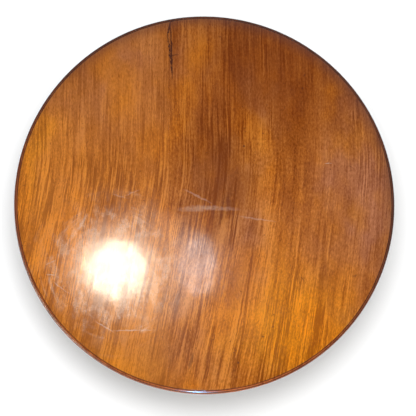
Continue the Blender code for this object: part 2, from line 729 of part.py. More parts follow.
def bezier(points, share):
    """A point on a cubic curve of four control points."""
    rest = 1 - share
    weights = (rest ** 3, 3 * rest ** 2 * share, 3 * rest * share ** 2, share ** 3)
    return tuple(sum(w * p[axis] for w, p in zip(weights, points)) for axis in (0, 1))


def leg_outlines():
    """Control points of the upper and lower outlines of a leg."""
    root_top = DRUM_TOP - LEG_ROOT_DROP
    upper = [(DRUM_RADIUS, root_top), (DRUM_RADIUS + LEG_KNEE, root_top)]
    upper += [(LEG_REACH - LEG_SWEEP, TOE_TOP + LEG_INSTEP_RISE), (LEG_REACH, TOE_TOP)]
    flat_end = DRUM_RADIUS + LEG_FLAT
    lower = [(flat_end, DRUM_BOTTOM), (flat_end + LEG_LOWER_KNEE, DRUM_BOTTOM + LEG_LOWER_RISE)]
    lower += [(LEG_REACH - LEG_LOWER_SWEEP, TOE_BOTTOM + LEG_LOWER_FALL), (LEG_REACH, TOE_BOTTOM)]
    return upper, lower


def leg_section(low, high, width, top_round):
    """Section of a leg between its lower and upper outline points: square below, rounded above."""
    up = Vector((high[0] - low[0], 0, high[1] - low[1]))
    height = up.length
    up.normalize()
    half = width / 2
    arris = LEG_LOWER_ARRIS
    flat = [(-half, arris), (arris - half, 0), (half - arris, 0), (half, arris)]
    right = arc((half - top_round, height - top_round), (top_round, top_round), 0, 90, LEG_ROUND_STEPS)
    left = [(-y, z) for y, z in reversed(right)]
    base = Vector((low[0], 0, low[1]))
    return [base + Vector((0, y, 0)) + up * z for y, z in flat + right + left]


def leg_mesh():
    """A leg in its own frame: swept body, coped root with its dovetail, and the tenon in the toe cap."""
    upper, lower = leg_outlines()
    buried = DRUM_RADIUS - DOVETAIL_DEPTH
    root_top = upper[0][1]
    sections = [leg_section((buried, DRUM_BOTTOM), (buried, root_top), LEG_ROOT_WIDTH, LEG_ROOT_ROUND)]
    for step in range(LEG_STATIONS + 1):
        share = step / LEG_STATIONS
        width = blend(LEG_ROOT_WIDTH, LEG_TOE_WIDTH, share)
        top_round = blend(LEG_ROOT_ROUND, LEG_TOE_ROUND, share)
        sections.append(leg_section(bezier(lower, share), bezier(upper, share), width, top_round))
    body = loft(sections)
    drum = cylinder(DRUM_RADIUS + SEAT_GAP, DRUM_BOTTOM / 2, DRUM_TOP + DRUM_HEIGHT, PILLAR_FACETS * 2)
    tongue = dovetail_mesh(0.0, DRUM_BOTTOM + LEG_LOWER_ARRIS, dovetail_top())
    inset = CAP_WALL + SEAT_GAP
    half = LEG_TOE_WIDTH / 2 - inset
    toe_end = CAP_END - CAP_FRONT_ROUND - CAP_WALL
    toe = box((LEG_REACH - CAP_LENGTH / 4, -half, TOE_BOTTOM + inset), (toe_end, half, TOE_TOP - inset))
    plate_screw = screw_hole(SMALL_SCREW_RADIUS, SMALL_SCREW_LENGTH, plate_screw_place(), 0.0)
    cap_screw = screw_hole(SMALL_SCREW_RADIUS, SMALL_SCREW_LENGTH, cap_screw_place(), 0.0)
    return cut(joined(cut(body, drum), tongue, toe), plate_screw, cap_screw)


def plate_outline():
    """Plan of the iron plate: a disc with one round-ended arm under each leg."""
    half = PLATE_ARM_WIDTH / 2
    spread = math.degrees(math.asin(half / PLATE_RADIUS))
    points = []
    for angle, following in zip(LEG_ANGLES, LEG_ANGLES[1:] + (LEG_ANGLES[0] + 360,)):
        turn = math.radians(angle)
        for x, y in arc((PLATE_ARM_REACH, 0), (half, half), -90, 90):
            points.append((x * math.cos(turn) - y * math.sin(turn), x * math.sin(turn) + y * math.cos(turn)))
        disc = (PLATE_RADIUS, PLATE_RADIUS)
        points += arc((0, 0), disc, angle + spread, following - spread, PLATE_STEPS)
    return points


def plate_mesh():
    """The iron plate that ties the legs under the pillar, with its countersunk holes."""
    bottom = DRUM_BOTTOM - SEAT_GAP - PLATE_THICKNESS
    plate = prism([(x, y, bottom) for x, y in plate_outline()], (0, 0, PLATE_THICKNESS))
    hole = screw_hole(SMALL_SCREW_RADIUS, SMALL_SCREW_LENGTH, plate_screw_place(), PLATE_THICKNESS)
    return cut(plate, *[moved(hole, Matrix.Rotation(math.radians(angle), 4, "Z")) for angle in LEG_ANGLES])


def cap_section(reach, share, swell=0.0):
    """Section of a toe cap at a distance from the pillar: a share of full size, swollen for the lip."""
    middle = Vector((reach, 0, (TOE_BOTTOM + TOE_TOP) / 2))
    full = leg_section((reach, TOE_BOTTOM), (reach, TOE_TOP), LEG_TOE_WIDTH, LEG_TOE_ROUND)
    return [middle + (point - middle) * (share + 2 * swell / LEG_TOE_WIDTH) for point in full]


def cap_mesh():
    """A brass toe cap: a box over the leg's tenon with a lip, and a bored boss for the pintle below."""
    front_share = 1 - 2 * CAP_FRONT_ROUND / LEG_TOE_WIDTH
    shoulder = CAP_END - CAP_FRONT_ROUND
    lip_end = CAP_START + CAP_LIP_LENGTH
    body = loft([
        cap_section(CAP_START, 1, CAP_LIP_RISE),
        cap_section(lip_end, 1, CAP_LIP_RISE),
        cap_section(lip_end, 1),
        cap_section(shoulder, 1),
        cap_section(CAP_END, front_share),
    ])
    under = Matrix.Translation((CASTOR_REACH, 0, 0))
    boss = moved(cylinder(BOSS_RADIUS, BOSS_BOTTOM, TOE_BOTTOM + CAP_WALL / 2, PIN_FACETS), under)
    half = LEG_TOE_WIDTH / 2 - CAP_WALL
    mouth = CAP_START - CAP_WALL
    hollow_end = shoulder - CAP_WALL + SEAT_GAP
    hollow = box((mouth, -half, TOE_BOTTOM + CAP_WALL), (hollow_end, half, TOE_TOP - CAP_WALL))
    bore_end = TOE_BOTTOM + 2 * CAP_WALL
    bore = moved(cylinder(PINTLE_RADIUS + SEAT_GAP, BOSS_BOTTOM - CAP_WALL, bore_end, PIN_FACETS), under)
    screw = screw_hole(SMALL_SCREW_RADIUS, SMALL_SCREW_LENGTH, cap_screw_place(), CAP_WALL)
    return cut(joined(body, boss), hollow, bore, screw)


def pintle_mesh():
    """The rivet on which a castor's fork swivels, about Z, its head under the fork's crown."""
    seat = CROWN_BOTTOM - SEAT_GAP
    foot = seat - PINTLE_HEAD_HEIGHT
    tip = TOE_BOTTOM + CAP_WALL - SEAT_GAP
    profile = [(0, foot), (PINTLE_HEAD_FACE, foot), (PINTLE_HEAD_RADIUS, seat - PINTLE_HEAD_HEIGHT / 2)]
    profile += [(PINTLE_HEAD_RADIUS, seat), (PINTLE_RADIUS, seat), (PINTLE_RADIUS, tip), (0, tip)]
    return turned(profile, PIN_FACETS)


def fork_arm(side):
    """One arm of a fork in its swivel frame: from the crown back and down to an eye about the axle."""
    high = CROWN_TOP - SEAT_GAP
    outline = [(FORK_ARM_FRONT, high), (-FORK_ARM_BACK, high), (-FORK_ARM_BACK, CROWN_BOTTOM)]
    eye = (FORK_EYE_RADIUS, FORK_EYE_RADIUS)
    outline += arc((CASTOR_TRAIL, AXLE_HEIGHT), eye, FORK_EYE_START, FORK_EYE_START + 180, EYE_STEPS)
    outline += [(FORK_ARM_FRONT, CROWN_BOTTOM)]
    low = min(side * ARM_INNER, side * ARM_OUTER)
    return prism([(x, low, z) for x, z in outline], (0, FORK_ARM_THICKNESS, 0))


def fork_mesh():
    """A castor's fork in its swivel frame: a bored crown and two arms down to the axle."""
    crown = cylinder(FORK_CROWN_RADIUS, CROWN_BOTTOM, CROWN_TOP, PIN_FACETS)
    body = joined(crown, fork_arm(-1), fork_arm(1))
    swivel_bore = cylinder(PINTLE_RADIUS + SEAT_GAP, CROWN_BOTTOM / 2, 2 * CROWN_TOP, PIN_FACETS)
    axle_bore = cylinder(AXLE_RADIUS + SEAT_GAP, -2 * ARM_OUTER, 2 * ARM_OUTER, PIN_FACETS)
    return cut(body, swivel_bore, moved(axle_bore, axle_place()))


def axle_place():
    """The axle's place in its swivel frame, its length along Y."""
    return Matrix.Translation((CASTOR_TRAIL, 0, AXLE_HEIGHT)) @ Matrix.Rotation(-math.pi / 2, 4, "X")


def axle_mesh():
    """A riveted axle about Z, with a head outside each arm of its fork."""
    seat = ARM_OUTER + SEAT_GAP
    end = seat + AXLE_HEAD_HEIGHT
    half = [(AXLE_RADIUS, seat), (AXLE_HEAD_RADIUS, seat), (AXLE_HEAD_FACE, end), (0, end)]
    return turned([(radius, -height) for radius, height in reversed(half)] + half, PIN_FACETS)


def wheel_mesh():
    """A castor wheel about Z: hub, dished web and a rim with rounded corners, standing on a facet."""
    bore = AXLE_RADIUS + SEAT_GAP
    face = WHEEL_WIDTH / 2
    web = face - WHEEL_DISH
    rim = WHEEL_RADIUS - WHEEL_RIM_HEIGHT
    half = [(bore, face), (WHEEL_HUB_RADIUS, face), (WHEEL_HUB_RADIUS + WHEEL_HUB_DRAFT, web), (rim, web)]
    half += [(rim, face), (WHEEL_RADIUS - WHEEL_RIM_CORNER, face)]
    half += [(WHEEL_RADIUS, face - WHEEL_RIM_CORNER)]
    profile = half + [(radius, -height) for radius, height in reversed(half)]
    return moved(turned(profile, WHEEL_FACETS, closed=True), Matrix.Rotation(math.pi / WHEEL_FACETS, 4, "Z"))


def build_base(wood, brass, iron):
    """The standing pieces that don't repeat with the legs."""
    small_screw = screw_mesh(SMALL_SCREW_RADIUS, SMALL_SCREW_LENGTH)
    add_piece("block", block_mesh(), wood)
    add_piece("pillar", pillar_mesh(), wood)
    add_piece("keeper", keeper_mesh(), brass)
    add_piece("leg_plate", plate_mesh(), iron)
    for place, side in zip(keeper_screw_places(), ("front", "back")):
        add_piece("keeper_screw_" + side, small_screw, brass, matrix=place)
    for side, name in ((-1, "left"), (1, "right")):
        add_piece("tenon_wedge_" + name, wedge_mesh(side), wood)
    pin = pivot_mesh()
    for side, name in ((-1, "front"), (1, "back")):
        add_piece("pivot_pin_" + name, pin, iron, matrix=pivot_place(side))


def build_legs(wood, brass, iron, steel):
    """The three legs, each with its toe cap, plate screw and castor on an empty of its own."""
    leg = leg_mesh()
    cap = cap_mesh()
    pintle = pintle_mesh()
    fork = fork_mesh()
    axle = axle_mesh()
    wheel = wheel_mesh()
    iron_screw = screw_mesh(SMALL_SCREW_RADIUS, SMALL_SCREW_LENGTH)
    brass_screw = screw_mesh(SMALL_SCREW_RADIUS, SMALL_SCREW_LENGTH)
    for number, angle in enumerate(LEG_ANGLES, start=1):
        line = axis_empty(f"leg_line_{number}", turn=math.radians(angle))
        add_piece(f"leg_{number}", leg, wood, line)
        add_piece(f"plate_screw_{number}", iron_screw, iron, line, plate_screw_place())
        add_piece(f"toe_cap_{number}", cap, brass, line)
        add_piece(f"cap_screw_{number}", brass_screw, brass, line, cap_screw_place())
        add_piece(f"pintle_{number}", pintle, brass, line, Matrix.Translation((CASTOR_REACH, 0, 0)))
        swivel = axis_empty(f"castor_swivel_{number}", (CASTOR_REACH, 0, 0), parent=line)
        add_piece(f"castor_fork_{number}", fork, brass, swivel)
        add_piece(f"castor_axle_{number}", axle, steel, swivel, axle_place())
        add_piece(f"castor_wheel_{number}", wheel, brass, swivel, axle_place())


def build_top(top_wood, wood, brass, steel):
    """The tilting pieces, all carried by an empty on the line of the pivots."""
    pivot = Vector((PIVOT_X, 0, PIVOT_Z))
    tilt = axis_empty("tilt_axis", pivot)
    back = Matrix.Translation(-pivot)
    whole = turned(top_profile(), TOP_FACETS)
    half_line = GLUE_LINE / 2
    cuts = [-TOP_DIAMETER, LEFT_JOINT_X, RIGHT_JOINT_X, TOP_DIAMETER]
    for name, low, high in zip(("left", "middle", "right"), cuts, cuts[1:]):
        board = board_mesh(whole, low + half_line, high - half_line)
        add_piece("top_board_" + name, board, top_wood, tilt, back)
    for side, name in ((-1, "front"), (1, "back")):
        add_piece("bearer_" + name, bearer_mesh(side), wood, tilt, back)
    large_screw = screw_mesh(LARGE_SCREW_RADIUS, LARGE_SCREW_LENGTH)
    for number, place in enumerate(bearer_screw_places(), start=1):
        add_piece(f"bearer_screw_{number}", large_screw, steel, tilt, back @ place)
    small_screw = screw_mesh(SMALL_SCREW_RADIUS, SMALL_SCREW_LENGTH)
    for number, place in enumerate(catch_screw_places(), start=1):
        add_piece(f"catch_screw_{number}", small_screw, brass, tilt, back @ place)
    add_piece("catch_case", case_mesh(), brass, tilt, back)
    spring_object(steel, tilt, pivot)
    bolt_line = Vector((BOLT_BACK, 0, BOLT_Z))
    slide = axis_empty("catch_slide", bolt_line - pivot, parent=tilt)
    add_piece("catch_bolt", bolt_mesh(), brass, slide, Matrix.Translation(-bolt_line))
    add_piece("catch_knob", knob_mesh(), brass, slide, Matrix.Translation(-bolt_line))


def main():
    """Build the whole table."""
    clear_scene()
    top_wood = finish("mahogany_top", (0.42, 0.15, 0.045), 0.25)
    wood = finish("mahogany_base", (0.20, 0.06, 0.022), 0.35)
    brass = finish("brass", (0.62, 0.42, 0.16), 0.35, 1.0)
    iron = finish("iron", (0.06, 0.055, 0.05), 0.6, 1.0)
    steel = finish("steel", (0.32, 0.31, 0.29), 0.4, 1.0)
    build_base(wood, brass, iron)
    build_legs(wood, brass, iron, steel)
    build_top(top_wood, wood, brass, steel)


main()
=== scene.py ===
"""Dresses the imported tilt-top breakfast table: fine meshes, finishes, light and camera.

Metres, +Z up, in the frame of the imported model. The top's grain runs along Y and its pivots are at +X.
"""

import logging
import math
from dataclasses import dataclass, field
from enum import Enum, IntEnum
from typing import Any, Iterable, Mapping, Optional, Protocol, Sequence, Union

import bmesh
import bpy
from mathutils import Matrix, Vector


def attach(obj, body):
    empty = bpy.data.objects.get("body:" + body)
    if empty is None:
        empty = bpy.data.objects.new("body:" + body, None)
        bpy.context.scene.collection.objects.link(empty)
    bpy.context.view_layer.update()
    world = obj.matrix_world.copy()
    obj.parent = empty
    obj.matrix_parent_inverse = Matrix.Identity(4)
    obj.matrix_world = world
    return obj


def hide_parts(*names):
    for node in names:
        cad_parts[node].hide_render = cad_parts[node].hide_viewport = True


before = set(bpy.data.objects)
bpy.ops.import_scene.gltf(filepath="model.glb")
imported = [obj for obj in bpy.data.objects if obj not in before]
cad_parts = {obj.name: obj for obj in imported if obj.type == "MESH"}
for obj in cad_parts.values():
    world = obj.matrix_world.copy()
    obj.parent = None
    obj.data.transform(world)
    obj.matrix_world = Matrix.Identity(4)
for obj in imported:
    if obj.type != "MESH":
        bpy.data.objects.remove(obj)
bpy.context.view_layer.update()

TOP_RADIUS = 0.600
TOP_HIGH = 0.735
LEFT_JOINT = -0.114
RIGHT_JOINT = 0.375
DRUM_RADIUS = 0.056
DRUM_BOTTOM = 0.172
CASTOR_REACH = 0.4393
LEG_ANGLES = (60.0, 180.0, 300.0)

WELD = 1e-5
FLAT_ANGLE = math.radians(0.5)
SHARP_ANGLE = math.radians(35)
ARRIS_ANGLE = math.radians(40)
LEG_GRAIN_FALL = math.radians(27)
FACING_DOWN = -0.99

JOINT_BLUR = 0.0003
LEFT_BOARD_NUMBER = 1.37
RIGHT_BOARD_NUMBER = 2.71
MARK_CORE = 0.35
PATCH_CORE = 0.1
WHITE = (1.0, 1.0, 1.0)

Colour = tuple[float, float, float]
Place = tuple[float, float, float]
Point = tuple[float, float]
Value = Union[float, "Signal"]
Axes = tuple["Signal", "Signal", "Signal"]
Shape = bmesh.types.BMesh
Material = bpy.types.Material
Piece = bpy.types.Object

log = logging.getLogger("breakfast_table")


class Slot(Enum):
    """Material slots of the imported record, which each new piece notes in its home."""

    TOP_WOOD = "mahogany_top"
    BASE_WOOD = "mahogany_base"
    BRASS = "brass"


class BoardFace(IntEnum):
    """Material numbers of a board's faces."""

    FLAT = 0
    UNDERSIDE = 1
    MOULDING = 2


class Reach(Enum):
    """What a lamp lights."""

    GLOSS = "only what is glossy, as a white card does"
    MATT = "everything but gloss, as a wide screen does"
    FLOOR = "only the floor"
    TOP_GLOSS = "only the gloss of the top"


class Grain(Enum):
    """Axis that the grain of a wooden piece follows, after its turn about Z."""

    ALONG_X = (1, 0, 2)
    ALONG_Y = (0, 1, 2)
    ALONG_Z = (0, 2, 1)


def blend(a: float, b: float, share: float) -> float:
    """Give the value a share of the way from a to b."""
    return a + (b - a) * share


def arc(centre: Point, radii: Point, start: float, end: float, steps: int) -> list[Point]:
    """Give points along part of an ellipse.

    Args:
        centre: Middle of the ellipse.
        radii: Its two half axes.
        start: First angle in degrees from the first axis.
        end: Last angle in degrees.
        steps: Number of steps between them.

    Returns:
        The points from start to end.
    """
    angles = [math.radians(blend(start, end, step / steps)) for step in range(steps + 1)]
    return [(centre[0] + radii[0] * math.cos(a), centre[1] + radii[1] * math.sin(a)) for a in angles]


def bezier(points: Sequence[Point], share: float) -> Point:
    """Give a point on a cubic curve of four control points."""
    rest = 1 - share
    weights = (rest ** 3, 3 * rest ** 2 * share, 3 * rest * share ** 2, share ** 3)
    return tuple(sum(w * p[axis] for w, p in zip(weights, points)) for axis in (0, 1))


class Signal:
    """One output of a shader node, used in sums as if it were a number."""

    def __init__(self, graph: "Graph", socket: bpy.types.NodeSocket) -> None:
        """Keep the socket and the graph that it belongs to."""
        self.graph = graph
        self.socket = socket

    def __add__(self, other: Value) -> "Signal":
        """Add."""
        return self.graph.math("ADD", self, other)

    def __sub__(self, other: Value) -> "Signal":
        """Take other away from this."""
        return self.graph.math("SUBTRACT", self, other)

    def __rsub__(self, other: float) -> "Signal":
        """Take this away from a number."""
        return self.graph.math("SUBTRACT", other, self)

    def __mul__(self, other: Value) -> "Signal":
        """Multiply."""
        return self.graph.math("MULTIPLY", self, other)

    def __pow__(self, other: Value) -> "Signal":
        """Raise this to a power."""
        return self.graph.math("POWER", self, other)

    __radd__ = __add__
    __rmul__ = __mul__

    def least(self, floor: float) -> "Signal":
        """Give this, or the floor where this is lower."""
        return self.graph.math("MAXIMUM", self, floor)

    def size(self) -> "Signal":
        """Give this without its sign."""
        return self.graph.math("ABSOLUTE", self, 0.0)

    def step(self, low: float, high: float) -> "Signal":
        """Rise smoothly from 0 at low to 1 at high."""
        settings = {"interpolation_type": "SMOOTHSTEP"}
        return self.graph.node("MapRange", settings, {"Value": self, "From Min": low, "From Max": high})

    def line(self, low: float, high: float, start: float, end: float) -> "Signal":
        """Map low to start and high to end along a line that stops at its ends."""
        inputs = {"Value": self, "From Min": low, "From Max": high, "To Min": start, "To Max": end}
        return self.graph.node("MapRange", {"clamp": True}, inputs)


class Graph:
    """The node tree of one material or of the world."""

    def __init__(self, tree: bpy.types.NodeTree) -> None:
        """Start from an empty tree."""
        self.tree = tree
        tree.nodes.clear()

    def node(
        self,
        kind: str,
        settings: Optional[Mapping[str, Any]] = None,
        inputs: Optional[Mapping[Union[str, int], Any]] = None,
        output: Union[str, int] = 0,
    ) -> Signal:
        """Add any node.

        Args:
            kind: The node's type without its ShaderNode prefix.
            settings: Properties that are set first; stops holds the colours of a ramp.
            inputs: Numbers, colours or signals by socket name or place.
            output: Name or place of the output to use.

        Returns:
            The chosen output.
        """
        made = self.tree.nodes.new("ShaderNode" + kind)
        for name, value in (settings or {}).items():
            if name == "stops":
                self._set_stops(made.color_ramp, value)
            else:
                setattr(made, name, value)
        for place, value in (inputs or {}).items():
            socket = made.inputs[place]
            if isinstance(value, Signal):
                self.tree.links.new(value.socket, socket)
            elif socket.type == "RGBA":
                socket.default_value = (*value, 1.0)
            else:
                socket.default_value = value
        return Signal(self, made.outputs[output]) if made.outputs else Signal(self, None)

    @staticmethod
    def _set_stops(ramp: bpy.types.ColorRamp, stops: Sequence[tuple[float, Colour]]) -> None:
        """Fill a colour ramp with places and colours."""
        while len(ramp.elements) < len(stops):
            ramp.elements.new(1.0)
        for element, (place, colour) in zip(ramp.elements, stops):
            element.position = place
            element.color = (*colour, 1.0)

    def math(self, operation: str, first: Value, second: Value) -> Signal:
        """Add a Math node."""
        return self.node("Math", {"operation": operation}, {0: first, 1: second})

    def mix(self, factor: Value, first: Any, second: Any, kind: str = "MIX") -> Signal:
        """Mix two colours.

        Args:
            factor: Share of the second colour.
            first: Colour or signal.
            second: Colour or signal.
            kind: Blend type of the Mix node.

        Returns:
            The mixed colour.
        """
        settings = {"data_type": "RGBA", "blend_type": kind, "clamp_factor": True}
        return self.node("Mix", settings, {0: factor, 6: first, 7: second}, 2)

    def place(self) -> Signal:
        """Give the place on the piece, in the table's frame."""
        return self.node("TexCoord", {}, {}, "Object")

    def vector(self, x: Value, y: Value, z: Value) -> Signal:
        """Put three values together as a vector."""
        return self.node("CombineXYZ", {}, {0: x, 1: y, 2: z})

    def parts(self, vector: Signal) -> Axes:
        """Take a vector apart."""
        first = self.node("SeparateXYZ", {}, {0: vector})
        outputs = first.socket.node.outputs
        return first, Signal(self, outputs[1]), Signal(self, outputs[2])

    def length(self, vector: Signal) -> Signal:
        """Give the length of a vector."""
        return self.node("VectorMath", {"operation": "LENGTH"}, {0: vector}, "Value")

    def radius(self, x: Signal, y: Signal) -> Signal:
        """Give the distance of x and y from their zero."""
        return self.length(self.vector(x, y, 0.0))

    def noise(self, vector: Signal, scale: float, detail: float = 2.0, roughness: float = 0.5) -> Signal:
        """Add a noise from 0 to 1 about a half."""
        inputs = {"Vector": vector, "Scale": scale, "Detail": detail, "Roughness": roughness}
        return self.node("TexNoise", {"noise_dimensions": "3D"}, inputs)

    def bump(self, height: Signal, strength: float, distance: float) -> Signal:
        """Turn a height into a normal."""
        return self.node("Bump", {}, {"Height": height, "Strength": strength, "Distance": distance})

    def surface(self, inputs: Mapping[str, Any]) -> None:
        """End the tree in a Principled shader."""
        shader = self.node("BsdfPrincipled", {}, inputs)
        self.node("OutputMaterial", {}, {"Surface": shader})


def new_graph(name: str) -> tuple[Material, Graph]:
    """Start a material and give it with its empty graph."""
    material = bpy.data.materials.new(name)
    material.use_nodes = True
    return material, Graph(material.node_tree)


@dataclass(frozen=True)
class GrainLines:
    """A layer of streaks: how many to the metre across and along, its weight in the tone, and its noise."""

    across: float
    along: float
    weight: float = 1.0
    detail: float = 2.0
    roughness: float = 0.6
    choice: float = 0.0
    contrast: Point = (0.28, 0.72)

    def noise(self, graph: Graph, axes: Axes) -> Signal:
        """Give a noise from 0 to 1, drawn out along the grain."""
        across, along, deep = axes
        vector = graph.vector(across * self.across, along * self.along, deep * self.across + self.choice)
        return graph.noise(vector, 1.0, self.detail, self.roughness)

    def tones(self, graph: Graph, axes: Axes) -> Signal:
        """Give the layer's part in the tone, its weight either way of 0."""
        return self.noise(graph, axes).line(*self.contrast, -self.weight, self.weight)


@dataclass(frozen=True)
class Mahogany:
    """Polished mahogany: streaks, clusters of dark lines, flecks, mottle, open pores and a worn varnish."""

    dark: Colour = (0.072, 0.015, 0.005)
    middle: Colour = (0.190, 0.047, 0.011)
    light: Colour = (0.350, 0.098, 0.020)
    bands: GrainLines = GrainLines(8, 0.9, 0.30, 2.0)
    ribbons: GrainLines = GrainLines(34, 2.6, 0.26, 3.0)
    threads: GrainLines = GrainLines(210, 5.0, 0.62, 6.0)
    flecks: GrainLines = GrainLines(215, 60.0, 0.12, 2.0)
    mottle: GrainLines = GrainLines(22, 9.0, 0.08, 3.0)
    ribbon_swell: GrainLines = GrainLines(9, 2.5, 1.3, roughness=0.5, contrast=(0.38, 0.62))
    thread_swell: GrainLines = GrainLines(23, 4.0, 1.2, roughness=0.5, choice=7.0, contrast=(0.38, 0.62))
    least_swell: float = 0.2
    lines: GrainLines = GrainLines(48, 1.4, roughness=0.5)
    line_clusters: GrainLines = GrainLines(8, 2.4, roughness=0.5, choice=3.0, contrast=(0.46, 0.60))
    line_width: float = 0.045
    line_depth: float = 0.34
    pores: GrainLines = GrainLines(620, 60.0, detail=1.0, roughness=0.5, contrast=(0.60, 0.74))
    pore_depth: float = 0.6
    pore_height: float = 0.00003
    drift_scale: float = 1.7
    drift: float = 0.03
    wave_scale: float = 13.0
    wave_height: float = 0.0004
    wave_detail: float = 4.5
    smear_scale: float = 22.0
    smear_rough: float = 0.08
    dark_rough: float = 0.045
    roughness: float = 0.11
    coat: float = 0.20
    coat_roughness: float = 0.22
    gloss: float = 0.5

    def axes(self, graph: Graph, grain: Grain, turn: float, slope: float) -> Axes:
        """Give the piece's own coordinates as across, along and deep.

        Args:
            graph: Graph to add nodes to.
            grain: Axis of the grain.
            turn: Turn about Z, in radians, that the piece has in the frame.
            slope: Fall of the grain from the level, in radians.

        Returns:
            Distances in metres across the grain, along it and into the piece.
        """
        place = graph.place()
        for rotation in ((0, 0, -turn), (0, -slope, 0)):
            if any(rotation):
                inputs = {"Vector": place, "Rotation": rotation}
                place = graph.node("Mapping", {"vector_type": "POINT"}, inputs)
        parts = graph.parts(place)
        across, along, deep = (parts[axis] for axis in grain.value)
        drift = graph.noise(place, self.drift_scale, 1.0) - 0.5
        return across + drift * self.drift, along, deep

    def tones(self, graph: Graph, axes: Axes) -> Signal:
        """Give the tone of the wood, 0 dark to 1 light."""
        layers = (self.bands, self.ribbons, self.threads, self.flecks, self.mottle)
        bands, ribbons, threads, flecks, mottle = (layer.tones(graph, axes) for layer in layers)
        swells = (self.ribbon_swell, self.thread_swell)
        wide, fine = (
            swell.noise(graph, axes).line(*swell.contrast, self.least_swell, swell.weight) for swell in swells
        )
        figure = ribbons * wide + threads * fine - self.dark_lines(graph, axes) * self.line_depth
        return bands + figure * self.liveliness(graph) + flecks + mottle + 0.5

    def dark_lines(self, graph: Graph, axes: Axes) -> Signal:
        """Give the thin dark lines that run in clusters along the grain, 1 in a line."""
        away = (self.lines.noise(graph, axes) - 0.5).size()
        clusters = self.line_clusters.noise(graph, axes).step(*self.line_clusters.contrast)
        return (1 - away.step(0.0, self.line_width)) * clusters

    def liveliness(self, graph: Graph) -> Value:
        """Give how strongly the wood is streaked, 1 for an ordinary piece."""
        return 1.0

    def haze(self, graph: Graph) -> Value:
        """Give how much rougher rubs have left the polish, 0 for an ordinary piece."""
        return 0.0

    def ramp(self, graph: Graph, tones: Signal) -> Signal:
        """Turn tones into the colours of the wood."""
        stops = [(0.0, self.dark), (0.5, self.middle), (1.0, self.light)]
        return graph.node("ValToRGB", {"stops": stops}, {0: tones})

    def colour(self, graph: Graph, tones: Signal, pores: Signal) -> Signal:
        """Give the colour of the wood under its varnish."""
        return graph.mix(pores * self.pore_depth, self.ramp(graph, tones), self.dark)

    def material(self, name: str, grain: Grain, turn: float = 0.0, slope: float = 0.0) -> Material:
        """Make the finish for one piece.

        Args:
            name: Name of the material.
            grain: Axis of the grain.
            turn: Turn about Z, in radians, that the piece has in the frame.
            slope: Fall of the grain from the level, in radians.

        Returns:
            The material.
        """
        made, graph = new_graph(name)
        axes = self.axes(graph, grain, turn, slope)
        tones = self.tones(graph, axes)
        pores = self.pores.noise(graph, axes).step(*self.pores.contrast)
        place = graph.place()
        smears = graph.noise(place, self.smear_scale, 4.0, 0.65)
        waves = graph.noise(place, self.wave_scale, self.wave_detail)
        dullness = smears.line(0.40, 0.65, 0.0, self.smear_rough) + tones.line(0.2, 0.6, self.dark_rough, 0.0)
        varnish = smears.line(0.36, 0.64, self.coat * 1.6, self.coat * 0.4)
        graph.surface({
            "Base Color": self.colour(graph, tones, pores),
            "Roughness": dullness + self.haze(graph) + self.roughness,
            "Coat Weight": varnish * tones.line(0.1, 0.9, 0.3, 1.5),
            "Coat Roughness": self.coat_roughness,
            "Specular IOR Level": self.gloss,
            "Normal": graph.bump(waves * self.wave_height - pores * self.pore_height, 1.0, 1.0),
        })
        return made


def board_numbers(x: Signal) -> Signal:
    """Give each board of the top a number of its own, so that its grain isn't its neighbour's."""
    left = x.step(LEFT_JOINT + JOINT_BLUR, LEFT_JOINT - JOINT_BLUR)
    right = x.step(RIGHT_JOINT - JOINT_BLUR, RIGHT_JOINT + JOINT_BLUR)
    return left * LEFT_BOARD_NUMBER + right * RIGHT_BOARD_NUMBER


def spot(graph: Graph, place: Signal, middle: Point, half: Point, angle: float, core: float) -> Signal:
    """Give an ellipse on the top, 1 in its core and fading to 0 at its rim.

    Args:
        graph: Graph to add nodes to.
        place: Places on the top.
        middle: Middle of the ellipse.
        half: Its half axes.
        angle: Angle of the first axis in degrees.
        core: Share of the way to the rim at which the fading starts.

    Returns:
        The ellipse.
    """
    inputs = {
        "Vector": place,
        "Location": (*middle, TOP_HIGH),
        "Rotation": (0, 0, math.radians(angle)),
        "Scale": (*half, 1.0),
    }
    local = graph.node("Mapping", {"vector_type": "TEXTURE"}, inputs)
    return 1 - graph.length(local).step(core, 1.0)


@dataclass(frozen=True)
class Mark:
    """A dent, stain or scratch on the top: its middle, length and width, how it lies, and its strength."""

    x: float
    y: float
    length: float
    width: float
    angle: float
    strength: float

    def mask(self, graph: Graph, place: Signal) -> Signal:
        """Give the mark's strength inside its outline and 0 outside."""
        half = (self.length / 2, self.width / 2)
        return spot(graph, place, (self.x, self.y), half, self.angle, MARK_CORE) * self.strength


@dataclass(frozen=True)
class Patch:
    """A broad patch of the top: its middle, how far it reaches and how strong it is."""

    x: float
    y: float
    reach_x: float
    reach_y: float
    strength: float

    def mask(self, graph: Graph, place: Signal) -> Signal:
        """Give the patch's strength, full in the middle and fading to its rim."""
        half = (self.reach_x, self.reach_y)
        return spot(graph, place, (self.x, self.y), half, 0.0, PATCH_CORE) * self.strength


@dataclass(frozen=True)
class Glow(Patch):
    """A broad patch of the top where the wood is another colour."""

    colour: Colour = WHITE


@dataclass(frozen=True)
class Tint:
    """Blotches of another hue all over the top: how many to the metre, which ones and what they do."""

    scale: float
    choice: float
    colour: Colour
    strength: float
    stretch: float = 0.6
    contrast: Point = (0.47, 0.64)

    def mask(self, graph: Graph, x: Signal, y: Signal) -> Signal:
        """Give the blotches' strength, longer along the grain than across it."""
        place = graph.vector(x * self.scale, y * self.scale * self.stretch, self.choice)
        return graph.noise(place, 1.0, 3.0).step(*self.contrast) * self.strength


